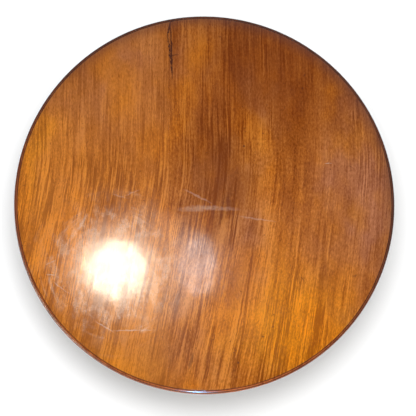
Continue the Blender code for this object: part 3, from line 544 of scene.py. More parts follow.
@dataclass(frozen=True)
class TopMahogany(Mahogany):
    """The wood of the top: boards that differ, sweeping grain, a split, dents, scuffs, painted sheen about the
    highlight, painted shade on the far rim and a darker line at the step.
    """

    dark: Colour = (0.195, 0.038, 0.002)
    middle: Colour = (0.405, 0.113, 0.012)
    light: Colour = (0.650, 0.224, 0.036)
    threads: GrainLines = GrainLines(210, 7.0, 0.62, 6.0)
    flecks: GrainLines = GrainLines(215, 100.0, 0.33, 3.0)
    mottle: GrainLines = GrainLines(22, 15.0, 0.13, 3.0)
    line_width: float = 0.040
    line_depth: float = 0.40
    roughness: float = 0.085
    wave_height: float = 0.0005
    wave_detail: float = 6.0
    drift_scale: float = 2.2
    drift: float = 0.02
    ripple_scale: float = 26.0
    ripple: float = 0.004
    sweep_start: float = 0.16
    sweep_ease: float = 0.15
    sweep: float = 0.20
    sweep_fall: float = 0.6
    lively: Point = (1.0, 1.5)
    least_lively: float = 0.15
    left_blur: float = 0.0006
    left_pale: float = 0.20
    glow_depth: float = 0.68
    glow_shake: Point = (6.0, 0.16)
    glows: tuple[Glow, ...] = (
        Glow(0.26, -0.37, 0.36, 0.32, 0.95, (0.88, 0.295, 0.002)),
        Glow(-0.26, 0.38, 0.38, 0.34, 0.75, (0.60, 0.212, 0.064)),
        Glow(-0.50, -0.04, 0.26, 0.56, 0.75, (0.95, 0.305, 0.026)),
        Glow(-0.24, -0.48, 0.40, 0.25, 0.60, (0.72, 0.240, 0.016)),
        Glow(0.20, 0.44, 0.46, 0.34, 0.60, (0.25, 0.054, 0.010)),
        Glow(0.52, -0.04, 0.32, 0.54, 0.75, (0.59, 0.222, 0.080)),
        Glow(0.03, 0.06, 0.18, 0.30, 0.65, (0.24, 0.060, 0.010)),
        Glow(-0.05, -0.42, 0.12, 0.22, 0.40, (0.52, 0.190, 0.075)),
        Glow(0.11, -0.25, 0.12, 0.22, 0.55, (0.46, 0.165, 0.070)),
        Glow(-0.535, 0.16, 0.05, 0.20, 0.60, (0.98, 0.335, 0.010)),
    )
    tints: tuple[Tint, ...] = (
        Tint(6.0, 3.1, (1.15, 1.09, 0.45), 0.80),
        Tint(5.0, 8.7, (0.93, 1.04, 1.90), 0.60),
        Tint(15.0, 5.3, (1.12, 1.11, 0.80), 0.70),
        Tint(13.0, 1.9, (0.88, 0.86, 1.10), 0.60),
    )
    calms: tuple[Patch, ...] = (
        Patch(-0.28, 0.42, 0.34, 0.28, 0.65),
        Patch(0.29, 0.06, 0.24, 0.44, 0.80),
        Patch(0.36, 0.36, 0.30, 0.30, 0.50),
        Patch(0.46, -0.15, 0.20, 0.30, 0.35),
        Patch(-0.46, 0.02, 0.34, 0.44, -0.95),
        Patch(0.08, -0.36, 0.36, 0.30, -0.55),
        Patch(0.04, 0.06, 0.16, 0.28, -0.50),
    )
    dirt: Colour = (0.070, 0.020, 0.013)
    speck: float = 0.65
    mark_shake: Point = (70.0, 0.008)
    marks: tuple[Mark, ...] = (
        Mark(-0.1148, 0.549, 0.070, 0.0095, 76, 0.95),
        Mark(-0.1116, 0.465, 0.190, 0.0100, 97, 0.95),
        Mark(-0.1068, 0.478, 0.230, 0.0090, 92, 0.95),
        Mark(-0.0950, 0.463, 0.036, 0.0050, 10, 0.70),
        Mark(-0.107, 0.300, 0.180, 0.0030, 91, 0.25),
        Mark(0.121, 0.169, 0.010, 0.008, 0, 0.7),
        Mark(0.207, -0.392, 0.010, 0.007, 30, 0.7),
        Mark(0.175, -0.421, 0.012, 0.008, 0, 0.6),
        Mark(0.099, -0.500, 0.012, 0.007, 60, 0.7),
        Mark(0.299, -0.246, 0.030, 0.003, -50, 0.7),
        Mark(0.459, 0.104, 0.024, 0.003, -40, 0.6),
        Mark(0.455, 0.092, 0.016, 0.003, 35, 0.5),
        Mark(0.463, -0.237, 0.016, 0.010, 40, 0.5),
        Mark(-0.045, -0.495, 0.080, 0.012, 72, 0.55),
        Mark(0.062, -0.020, 0.150, 0.040, 72, 0.25),
        Mark(-0.380, -0.131, 0.270, 0.0045, 86, 0.60),
    )
    scratched: Colour = (0.62, 0.42, 0.32)
    scratches: tuple[Mark, ...] = (
        Mark(0.386, 0.115, 0.030, 0.004, 5, 0.8),
        Mark(-0.224, -0.403, 0.165, 0.005, 1, 0.60),
        Mark(-0.308, -0.392, 0.085, 0.006, -31, 0.50),
        Mark(-0.475, -0.234, 0.036, 0.005, 0, 0.60),
        Mark(-0.475, -0.196, 0.042, 0.006, 25, 0.50),
        Mark(-0.443, -0.273, 0.080, 0.005, -36, 0.50),
        Mark(-0.383, -0.075, 0.075, 0.014, 62, 0.40),
        Mark(0.160, -0.060, 0.150, 0.007, -8, 0.30),
        Mark(-0.025, -0.028, 0.150, 0.026, 3, 0.30),
        Mark(0.045, -0.028, 0.150, 0.018, -2, 0.22),
        Mark(-0.024, 0.010, 0.120, 0.009, -27, 0.30),
        Mark(-0.230, 0.020, 0.070, 0.006, 20, 0.30),
        Mark(-0.265, 0.010, 0.070, 0.006, -15, 0.26),
    )
    # Painted reflection: the pale colour of the lamp's sheen, laid into the swirl rings and scuffs about its
    # highlight.
    swirl_sheen: Colour = (0.78, 0.55, 0.36)
    highlight_place: Point = (-0.285, -0.215)
    rubbed_core: Point = (0.085, 0.135)
    rubbed_rough: float = 0.70
    swirl_sheen_strength: float = 0.45
    ring_reach: Point = (0.10, 0.30)
    ring: float = 0.45
    scuff_reach: float = 0.27
    scuff: float = 0.42
    # Painted shade: the flat darkens towards the rim on its far, upper right side.
    shaded: Colour = (0.150, 0.055, 0.038)
    shaded_rim: Point = (0.540, 0.590)
    shade: float = 0.60
    # A darker line along the step where the flat meets the moulded edge.
    step_line_colour: Colour = (0.060, 0.016, 0.008)
    step_rim: Point = (0.5805, 0.5845)
    step_dark: float = 0.45

    def liveliness(self, graph: Graph) -> Signal:
        """Give how strongly the wood is streaked, less in its calm patches."""
        place = graph.place()
        lively = graph.noise(place, 3.0, 2.0).line(0.3, 0.7, *self.lively)
        for calm in self.calms:
            lively = lively - calm.mask(graph, place)
        return lively.least(self.least_lively)

    def axes(self, graph: Graph, grain: Grain, turn: float, slope: float) -> Axes:
        """Give coordinates that sweep aside towards the near edge and differ from board to board."""
        place = graph.place()
        x, y, z = graph.parts(place)
        drift = graph.noise(place, self.drift_scale, 2.0) - 0.5
        ripple = graph.noise(place, self.ripple_scale, 2.0) - 0.5
        fall = (self.sweep_start - y).least(0.0)
        reach = (fall * fall + self.sweep_ease ** 2) ** 0.5 - self.sweep_ease
        aside = reach * self.sweep * (1 - x.least(0.0) * self.sweep_fall)
        across = x + aside + drift * self.drift + ripple * self.ripple
        return across + board_numbers(x), y, z

    def about_rubbing(self, graph: Graph, x: Signal, y: Signal) -> Axes:
        """Give the place about the lamp's highlight, where the swirl rings centre: across, along and how far
        out.
        """
        across = x - self.highlight_place[0]
        along = y - self.highlight_place[1]
        return across, along, graph.radius(across, along)

    def haze(self, graph: Graph) -> Signal:
        """Give how much rougher the polish is in the swirl rings and scuffs about the lamp's highlight."""
        x, y, _ = graph.parts(graph.place())
        _, _, radius = self.about_rubbing(graph, x, y)
        return self.rubbing_and_sheen(graph, x, y) * radius.step(*self.rubbed_core) * self.rubbed_rough

    def rubbing_and_sheen(self, graph: Graph, x: Signal, y: Signal) -> Signal:
        """Give the rings and scuffs in the polish about the lamp's highlight, which roughen it and carry its
        painted sheen.

        Args:
            graph: Graph to add nodes to.
            x: Place across the top.
            y: Place along the top.

        Returns:
            How strongly rings and scuffs mark the polish, 0 where it is clear.
        """
        across, along, radius = self.about_rubbing(graph, x, y)
        angle = graph.math("ARCTAN2", along, across)
        rings = graph.noise(graph.vector(radius * 60, angle * 1.5, 0.0), 1.0, 4.0, 0.6).step(0.50, 0.74)
        gaps = graph.noise(graph.vector(x, y, 0.0), 11.0, 2.0).step(0.46, 0.62)
        near, far = self.ring_reach
        middle = (near + far) / 2
        rings = rings * gaps * radius.step(near, middle) * radius.step(far, middle) * self.ring
        blotches = graph.noise(graph.vector(x * 1.6, y, 5.0), 17.0, 5.0, 0.65).step(0.46, 0.62)
        grit = graph.noise(graph.vector(x, y, 9.0), 260.0, 2.0).line(0.35, 0.60, 0.5, 1.0)
        return rings + blotches * grit * radius.step(self.scuff_reach, near) * self.scuff

    def colour(self, graph: Graph, tones: Signal, pores: Signal) -> Signal:
        """Give the wood's colour with its patches, blotches, pores, marks, painted sheen and painted shade."""
        place = graph.place()
        x, y, _ = graph.parts(place)
        wood = self.ramp(graph, tones)
        ragged = self.shaken(graph, place, *self.glow_shake)
        for glow in self.glows:
            shaded = graph.mix(tones.line(0.0, 0.9, self.glow_depth, 0.0), glow.colour, self.dark)
            wood = graph.mix(glow.mask(graph, ragged), wood, shaded)
        for tint in self.tints:
            wood = graph.mix(tint.mask(graph, x, y), wood, tint.colour, "MULTIPLY")
        left = x.step(LEFT_JOINT + self.left_blur, LEFT_JOINT - self.left_blur)
        wood = graph.mix(left * self.left_pale, wood, self.light)
        wood = graph.mix(pores * self.pore_depth, wood, self.dark)
        return self.worn(graph, place, wood)

    def worn(self, graph: Graph, place: Signal, wood: Signal) -> Signal:
        """Add specks, marks and scratches to the wood, a painted sheen in the swirl rings about the highlight,
        painted shade along the far rim and a darker line along the step.

        Args:
            graph: Graph to add nodes to.
            place: Places on the top.
            wood: Colour of the wood.

        Returns:
            The worn colour.
        """
        x, y, _ = graph.parts(place)
        swarms = graph.noise(place, 9.0, 2.0).step(0.45, 0.60)
        specks = graph.noise(place, 150.0, 1.0).step(0.70, 0.78) * swarms
        wood = graph.mix(specks * self.speck, wood, self.dirt)
        # Painted reflection: the lamp's pale sheen in the swirl rings and scuffs about its highlight.
        wood = graph.mix(self.rubbing_and_sheen(graph, x, y) * self.swirl_sheen_strength, wood, self.swirl_sheen)
        shaken = self.shaken(graph, place, *self.mark_shake)
        broken = graph.noise(place, 130.0, 2.0).line(0.34, 0.50, 0.45, 1.0)
        for marks, colour in ((self.marks, self.dirt), (self.scratches, self.scratched)):
            for mark in marks:
                wood = graph.mix(mark.mask(graph, shaken) * broken, wood, colour)
        radius = graph.radius(x, y)
        # Painted shade: darker towards the rim on the far, upper right side, away from the lamps.
        far_side = (x * 0.5 + y).step(-0.1, 0.40)
        wood = graph.mix(radius.step(*self.shaded_rim) * far_side * self.shade, wood, self.shaded)
        # A darker line along the step at the edge of the flat.
        return graph.mix(radius.step(*self.step_rim) * self.step_dark, wood, self.step_line_colour)

    @staticmethod
    def shaken(graph: Graph, place: Signal, scale: float, reach: float) -> Signal:
        """Shift places about by a noise, so that outlines come out ragged.

        Args:
            graph: Graph to add nodes to.
            place: The places.
            scale: Waves of the noise to the metre.
            reach: Whole width of the shift.

        Returns:
            The shifted places.
        """
        wander = graph.node("TexNoise", {}, {"Vector": place, "Scale": scale, "Detail": 3.0}, "Color")
        widths = {0: wander, 1: (reach, reach, 0.0), 2: place}
        moved = graph.node("VectorMath", {"operation": "MULTIPLY_ADD"}, widths)
        return graph.node("VectorMath", {"operation": "SUBTRACT"}, {0: moved, 1: (reach / 2, reach / 2, 0.0)})


@dataclass(frozen=True)
class EdgeMahogany(Mahogany):
    """The top's moulded edge: dark and dull, with painted light making it red on its near, lit side, and a
    darker line along its step and quirk.
    """

    dark: Colour = (0.090, 0.024, 0.012)
    middle: Colour = (0.145, 0.040, 0.018)
    light: Colour = (0.210, 0.060, 0.024)
    # Painted light: redder, lighter colours on the side of the edge that faces the lamps.
    lit_side_dark: Colour = (0.300, 0.064, 0.016)
    lit_side_light: Colour = (0.640, 0.178, 0.042)
    lit_side_angle: float = 240.0
    lit_side_range: Point = (-0.20, 0.39)
    lit_side_share: float = 0.85
    # A darker line along the step and in the quirk of the edge.
    groove_line_colour: Colour = (0.020, 0.007, 0.005)
    step_rim: Point = (0.5874, 0.5850)
    step_line_strength: float = 0.75
    quirk: float = 0.5925
    quirk_half: float = 0.0024
    quirk_line_strength: float = 0.95
    roughness: float = 0.15
    pore_height: float = 0.00001
    coat: float = 0.0
    gloss: float = 0.14

    def colour(self, graph: Graph, tones: Signal, pores: Signal) -> Signal:
        """Give the wood's colour, with painted light on its lit side and a darker line along its step and
        quirk.
        """
        wood = super().colour(graph, tones, pores)
        x, y, _ = graph.parts(graph.place())
        # Painted light: the side of the edge that faces the lamps is redder and lighter.
        side = math.radians(self.lit_side_angle)
        lit_side_share = (x * math.cos(side) + y * math.sin(side)).step(*self.lit_side_range)
        worn = graph.mix(tones.line(0.1, 0.9, 0.0, 1.0), self.lit_side_dark, self.lit_side_light)
        wood = graph.mix(lit_side_share * self.lit_side_share, wood, worn)
        radius = graph.radius(x, y)
        # A darker line along the step and in the quirk of the edge.
        wood = graph.mix(radius.step(*self.step_rim) * self.step_line_strength, wood, self.groove_line_colour)
        quirk = (radius - self.quirk).size().step(self.quirk_half, 0.0)
        return graph.mix(quirk * self.quirk_line_strength, wood, self.groove_line_colour)


@dataclass(frozen=True)
class RawMahogany:
    """Unpolished wood, as under the top: boards that differ, marks of the plane, dust and a clean patch."""

    fresh: Colour = (0.215, 0.092, 0.042)
    dusty: Colour = (0.088, 0.047, 0.030)
    fibres: GrainLines = GrainLines(150, 4.0, 1.5, 4.0)
    open_grain: GrainLines = GrainLines(420, 9.0, 0.30, roughness=0.5, contrast=(0.58, 0.70))
    drift: float = 0.04
    dust: float = 0.9
    bands: float = 1.9
    board: float = 0.07
    planed: float = 0.12
    knocks: float = 0.20
    clean: float = 0.25
    clean_half: Point = (0.150, 0.110)
    clean_blur: float = 0.004
    base: float = -1.85
    roughness: float = 0.86
    fibre_gloss: float = 0.15

    def clean_patch(self, x: Signal, y: Signal) -> Signal:
        """Give 1 where the block keeps light and dust away from the wood."""
        blur = self.clean_blur
        across, along = (
            place.size().step(half + blur, half - blur) for place, half in zip((x, y), self.clean_half)
        )
        return across * along

    def material(self, name: str) -> Material:
        """Make the finish.

        Args:
            name: Name of the material.

        Returns:
            The material.
        """
        made, graph = new_graph(name)
        place = graph.place()
        x, y, z = graph.parts(place)
        board = board_numbers(x)
        across = x + (graph.noise(place, 2.0, 2.0) - 0.5) * self.drift + board
        bands = graph.noise(graph.vector(across * 16, y * 1.1, z), 1.0, 3.0, 0.6)
        fibres = self.fibres.noise(graph, (across, y, z))
        planed = graph.node("TexWave", {"wave_type": "BANDS", "bands_direction": "X"}, {
            "Vector": graph.vector(y, across, z), "Scale": 7.0, "Distortion": 3.0, "Detail": 2.0,
        })
        dust = graph.noise(place, 5.0, 4.0, 0.6)
        open_grain = self.open_grain.noise(graph, (across, y, z)).step(*self.open_grain.contrast)
        knocks = graph.noise(graph.vector(x * 9, y * 26, 4.0), 1.0, 4.0, 0.6).step(0.62, 0.72)
        shade = dust * self.dust + bands * self.bands + fibres * self.fibres.weight
        shade = shade + board * self.board + planed * self.planed + self.base
        shade = shade + self.clean_patch(x, y) * self.clean + knocks * self.knocks
        graph.surface({
            "Base Color": graph.mix(shade - open_grain * self.open_grain.weight, self.dusty, self.fresh),
            "Roughness": self.roughness - fibres * self.fibre_gloss,
            "Normal": graph.bump(fibres + planed * 0.6, 0.3, 0.0006),
        })
        return made


@dataclass(frozen=True)
class Metal:
    """A worn metal: a clean colour, a stained one, how rough each is, and where the stains are."""

    clean: Colour
    stained: Colour
    polish: float
    dullness: float
    stain_scale: float
    stain_edge: Point
    stain_cover: float = 0.35
    scratch_rough: float = 0.12

    def material(self, name: str) -> Material:
        """Make the finish.

        Args:
            name: Name of the material.

        Returns:
            The material.
        """
        made, graph = new_graph(name)
        place = graph.place()
        stain = graph.noise(place, self.stain_scale, 5.0, 0.62).step(*self.stain_edge)
        scratches = graph.noise(place, self.stain_scale * 12, 2.0)
        worn = stain * (self.dullness - self.polish) + scratches * self.scratch_rough
        graph.surface({
            "Base Color": graph.mix(stain, self.clean, self.stained),
            "Metallic": 1.0 - stain * self.stain_cover,
            "Roughness": worn + (self.polish - self.scratch_rough / 2),
            "Normal": graph.bump(scratches + stain * 0.5, 0.12, 0.0002),
        })
        return made


class Finishes:
    """Every finish of the table, made once."""

    def __init__(self) -> None:
        """Make the materials."""
        brass = Metal((0.66, 0.44, 0.17), (0.20, 0.115, 0.045), 0.26, 0.50, 45.0, (0.46, 0.70))
        iron = Metal((0.080, 0.075, 0.070), (0.075, 0.036, 0.020), 0.48, 0.80, 60.0, (0.45, 0.62))
        steel = Metal((0.34, 0.33, 0.31), (0.12, 0.085, 0.060), 0.36, 0.65, 150.0, (0.45, 0.65))
        waxed = Mahogany(coat=0.15, roughness=0.42)
        self.top = TopMahogany().material("top_mahogany", Grain.ALONG_Y)
        self.edge = EdgeMahogany().material("edge_mahogany", Grain.ALONG_Y)
        self.turned = Mahogany().material("pillar_mahogany", Grain.ALONG_Z)
        self.bearer = waxed.material("bearer_mahogany", Grain.ALONG_X)
        self.block = waxed.material("block_mahogany", Grain.ALONG_Y)
        self.underside = RawMahogany().material("unpolished_mahogany")
        self.brass = brass.material("aged_brass")
        self.iron = iron.material("black_iron")
        self.steel = steel.material("dull_steel")

    @staticmethod
    def leg(number: int, turn: float) -> Material:
        """Make the finish of one leg, its grain running out and down along the leg."""
        return Mahogany().material(f"leg_{number}_mahogany", Grain.ALONG_X, turn, LEG_GRAIN_FALL)


def spun(profile: Sequence[Point], steps: int, foot: Point = (0.0, 0.0), ring: bool = False) -> Shape:
    """Turn a profile about an upright axis.

    Args:
        profile: Points as radius and height.
        steps: Steps round the circle.
        foot: Place of the axis.
        ring: True to close the profile on itself.

    Returns:
        The closed shape.
    """
    shape = bmesh.new()
    points = [shape.verts.new((radius, 0.0, height)) for radius, height in profile]
    edges = [shape.edges.new(pair) for pair in zip(points, points[1:])]
    if ring:
        edges.append(shape.edges.new((points[-1], points[0])))
    bmesh.ops.spin(
        shape, geom=points + edges, axis=(0, 0, 1), cent=(0, 0, 0),
        angle=2 * math.pi, steps=steps, use_merge=True,
    )
    bmesh.ops.remove_doubles(shape, verts=shape.verts, dist=WELD)
    bmesh.ops.recalc_face_normals(shape, faces=shape.faces)
    bmesh.ops.translate(shape, vec=(*foot, 0.0), verts=shape.verts)
    return shape


def drawn(sections: Sequence[Sequence[Vector]]) -> Shape:
    """Draw a section out through a row of others with the same number of points.

    Args:
        sections: The sections, first to last.

    Returns:
        The closed shape.
    """
    shape = bmesh.new()
    first = shape.faces.new([shape.verts.new(point) for point in sections[0]])
    face = first
    for section in sections[1:]:
        grown = bmesh.ops.extrude_face_region(shape, geom=[face])
        if face is not first:
            bmesh.ops.delete(shape, geom=[face], context="FACES_ONLY")
        face = [item for item in grown["geom"] if isinstance(item, bmesh.types.BMFace)][0]
        for vertex, point in zip(face.verts, section):
            vertex.co = point
    bmesh.ops.recalc_face_normals(shape, faces=shape.faces)
    return shape


def plate(outline: Sequence[Vector], depth: Vector, round_over: float, segments: int = 2) -> Shape:
    """Draw a flat outline out and round its edges over.

    Args:
        outline: Corners of the flat face.
        depth: How far and which way it is drawn.
        round_over: Radius along its edges.
        segments: Steps of the rounding.

    Returns:
        The closed shape.
    """
    shape = bmesh.new()
    face = shape.faces.new([shape.verts.new(point) for point in outline])
    grown = bmesh.ops.extrude_face_region(shape, geom=[face])
    moved = [item for item in grown["geom"] if isinstance(item, bmesh.types.BMVert)]
    bmesh.ops.translate(shape, vec=depth, verts=moved)
    bmesh.ops.recalc_face_normals(shape, faces=shape.faces)
    rims = [edge for edge in shape.edges if any(len(side.verts) == len(outline) for side in edge.link_faces)]
    round_edges(shape, rims, round_over, segments)
    return shape


def round_edges(shape: Shape, edges: Iterable[bmesh.types.BMEdge], width: float, segments: int) -> None:
    """Round some edges of a shape over."""
    bmesh.ops.bevel(
        shape, geom=list(edges), offset=width, offset_type="OFFSET", affect="EDGES", segments=segments,
        profile=0.5, clamp_overlap=True, material=-1,
    )


def softened(node: str, width: float, shortest: float, segments: int = 2) -> Shape:
    """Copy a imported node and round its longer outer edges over.

    Args:
        node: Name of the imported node.
        width: Width of the rounding.
        shortest: Edges shorter than this stay sharp, such as the rims of bores.
        segments: Steps of the rounding.

    Returns:
        The softened copy.
    """
    shape = bmesh.new()
    shape.from_mesh(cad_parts[node].data)
    bmesh.ops.remove_doubles(shape, verts=shape.verts, dist=WELD)
    bmesh.ops.dissolve_limit(
        shape, angle_limit=FLAT_ANGLE, use_dissolve_boundaries=False, verts=shape.verts, edges=shape.edges,
    )
    outer = [
        edge for edge in shape.edges
        if edge.is_manifold and edge.is_convex
        and edge.calc_length() > shortest and edge.calc_face_angle() > ARRIS_ANGLE
    ]
    round_edges(shape, outer, width, segments)
    return shape


def joined(shapes: Iterable[Shape]) -> Shape:
    """Put several shapes into one and free them."""
    whole = bmesh.new()
    for shape in shapes:
        mesh = bpy.data.meshes.new("joined")
        shape.to_mesh(mesh)
        shape.free()
        whole.from_mesh(mesh)
        bpy.data.meshes.remove(mesh)
    return whole


def turned_by(shape: Shape, matrix: Matrix) -> Shape:
    """Move a shape by a matrix and give it back."""
    bmesh.ops.transform(shape, matrix=matrix, verts=shape.verts)
    return shape


@dataclass(frozen=True)
class Home:
    """Where a new piece belongs: its body, its record slot and the node that it stands for."""

    body: str
    slot: Slot
    node: str


def settle(name: str, shape: Shape, finishes: Sequence[Material], home: Home) -> Piece:
    """Make a piece of a shape, dress it and let it ride on its body.

    Args:
        name: Name of the piece.
        shape: Its shape, which is freed.
        finishes: Its materials, in the order of the faces' material numbers.
        home: Where it belongs.

    Returns:
        The piece.
    """
    mesh = bpy.data.meshes.new(name)
    shape.to_mesh(mesh)
    shape.free()
    for finish in finishes:
        mesh.materials.append(finish)
    mesh.shade_smooth()
    mesh.set_sharp_from_angle(angle=SHARP_ANGLE)
    piece = bpy.data.objects.new(name, mesh)
    bpy.context.scene.collection.objects.link(piece)
    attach(piece, home.body)
    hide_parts(home.node)
    log.info("%s: %d faces on %s", name, len(mesh.polygons), home.body)
    return piece


def dress_node(node: str, finish: Material) -> None:
    """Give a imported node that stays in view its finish."""
    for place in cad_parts[node].material_slots:
        place.material = finish
    log.info("%s: packed node, now %s", node, finish.name)


class Assembly(Protocol):
    """A sub-assembly of the table."""

    def build(self, finishes: Finishes) -> None:
        """Make its new pieces."""

    def dress(self, finishes: Finishes) -> None:
        """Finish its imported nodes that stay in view."""


@dataclass
class TableTop:
    """The round top of three boards, with its bearers."""

    radius: float = TOP_RADIUS
    high: float = TOP_HIGH
    low: float = 0.710
    edge_width: float = 0.017
    edge_step: float = 0.003
    edge_nose: float = 0.003
    edge_arris: float = 0.002
    step_round: float = 0.0006
    quirk_angles: Point = (63.0, 49.0)
    quirk_floor: float = 2.0
    quirk_depth: float = 0.0020
    rim_band: float = 0.02
    glue_line: float = 0.0002
    bearer_soft: Point = (0.0012, 0.010)
    screws: int = 6
    facets: int = 256
    boards: list[Piece] = field(default_factory=list)

    def profile(self) -> list[Point]:
        """Give the half section: flat, eased step, quarter round with a quirk in it, nose and underside."""
        inner = self.radius - self.edge_width
        spring = self.low + self.edge_arris + self.edge_nose
        rise = self.high - self.edge_step - spring
        ease = self.step_round
        arris = self.edge_arris
        upper, lower = self.quirk_angles
        middle = (upper + lower) / 2
        sunk = (self.edge_width - self.quirk_depth, rise - self.quirk_depth)
        rings = [0.0, inner * 0.5, inner - self.rim_band]
        points = [(ring, self.high) for ring in rings]
        points += arc((inner - ease, self.high - ease), (ease, ease), 90, 0, 4)
        points += arc((inner, spring), (self.edge_width, rise), 90, upper, 6)
        points += arc((inner, spring), sunk, middle + self.quirk_floor / 2, middle - self.quirk_floor / 2, 1)
        points += arc((inner, spring), (self.edge_width, rise), lower, 0, 10)
        points += arc((self.radius - arris, self.low + arris), (arris, arris), 0, -90, 5)
        return points + [(ring, self.low) for ring in reversed(rings)]

    def board(self, low: float, high: float) -> Shape:
        """Cut one board out of the turned top.

        Args:
            low: Least x of the board.
            high: Greatest x of the board.

        Returns:
            The board, its faces numbered by finish.
        """
        shape = spun(self.profile(), self.facets)
        for x, side in ((low, -1), (high, 1)):
            bmesh.ops.bisect_plane(
                shape, geom=shape.verts[:] + shape.edges[:] + shape.faces[:], dist=WELD / 10,
                plane_co=(x, 0, 0), plane_no=(side, 0, 0), clear_outer=True,
            )
        bmesh.ops.holes_fill(shape, edges=[edge for edge in shape.edges if edge.is_boundary], sides=0)
        bmesh.ops.recalc_face_normals(shape, faces=shape.faces)
        flat = self.radius - self.edge_width
        for face in shape.faces:
            middle = face.calc_center_median()
            if face.normal.z < FACING_DOWN:
                face.material_index = BoardFace.UNDERSIDE
            elif math.hypot(middle.x, middle.y) > flat:
                face.material_index = BoardFace.MOULDING
        return shape

    def build(self, finishes: Finishes) -> None:
        """Make the boards and the softened bearers."""
        half = self.glue_line / 2
        cuts = [-2 * self.radius, LEFT_JOINT, RIGHT_JOINT, 2 * self.radius]
        by_face = {
            BoardFace.FLAT: finishes.top,
            BoardFace.UNDERSIDE: finishes.underside,
            BoardFace.MOULDING: finishes.edge,
        }
        wood = [by_face[number] for number in BoardFace]
        for name, low, high in zip(("left", "middle", "right"), cuts, cuts[1:]):
            home = Home("top", Slot.TOP_WOOD, f"top_board_{name}")
            self.boards.append(settle(f"board_{name}", self.board(low + half, high - half), wood, home))
        for side in ("front", "back"):
            home = Home("top", Slot.BASE_WOOD, f"bearer_{side}")
            shape = softened(home.node, *self.bearer_soft)
            settle(f"softened_bearer_{side}", shape, (finishes.bearer,), home)

    def dress(self, finishes: Finishes) -> None:
        """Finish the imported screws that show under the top."""
        for number in range(1, self.screws + 1):
            dress_node(f"bearer_screw_{number}", finishes.steel)


@dataclass
class Catch:
    """The brass spring catch under the top and its keeper in the block."""

    knob_x: float = -0.181
    knob_collar: float = 0.69295
    knob_height: float = 0.013
    knob_radius: float = 0.009
    ball_rise: float = 0.005
    stem_radius: float = 0.0030
    stem_top: float = 0.70075
    collar_line: tuple[Point, ...] = ((0.0058, 0.0), (0.0063, 0.0005), (0.0060, 0.0011))
    neck_line: tuple[Point, ...] = ((0.0048, 0.0018), (0.0044, 0.0030), (0.0050, 0.0044))
    case_soft: Point = (0.0005, 0.006)
    bolt_soft: Point = (0.0005, 0.005)
    keeper_soft: Point = (0.0004, 0.006)
    screws: int = 4
    facets: int = 48

    def knob(self) -> Shape:
        """Turn the knob with its stem, collar, neck and flattened ball."""
        foot = self.knob_collar - self.knob_height
        stem = self.stem_radius
        profile = [(0.0, self.stem_top), (stem, self.stem_top), (stem, self.knob_collar)]
        profile += [(radius, self.knob_collar - fall) for radius, fall in self.collar_line + self.neck_line]
        profile += arc((0.0, foot + self.ball_rise), (self.knob_radius, self.ball_rise), 32, -90, 12)
        return spun(profile, self.facets, (self.knob_x, 0.0))

    def build(self, finishes: Finishes) -> None:
        """Make the case, the bolt, the knob and the keeper."""
        brass = (finishes.brass,)
        home = Home("top", Slot.BRASS, "catch_case")
        settle("softened_catch_case", softened(home.node, *self.case_soft), brass, home)
        home = Home("catch_bolt", Slot.BRASS, "catch_bolt")
        settle("softened_bolt", softened(home.node, *self.bolt_soft), brass, home)
        settle("turned_knob", self.knob(), brass, Home("catch_bolt", Slot.BRASS, "catch_knob"))
        home = Home("base", Slot.BRASS, "keeper")
        settle("softened_keeper", softened(home.node, *self.keeper_soft), brass, home)

    def dress(self, finishes: Finishes) -> None:
        """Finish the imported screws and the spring."""
        for number in range(1, self.screws + 1):
            dress_node(f"catch_screw_{number}", finishes.brass)
        for side in ("front", "back"):
            dress_node(f"keeper_screw_{side}", finishes.brass)
        dress_node("catch_spring", finishes.steel)


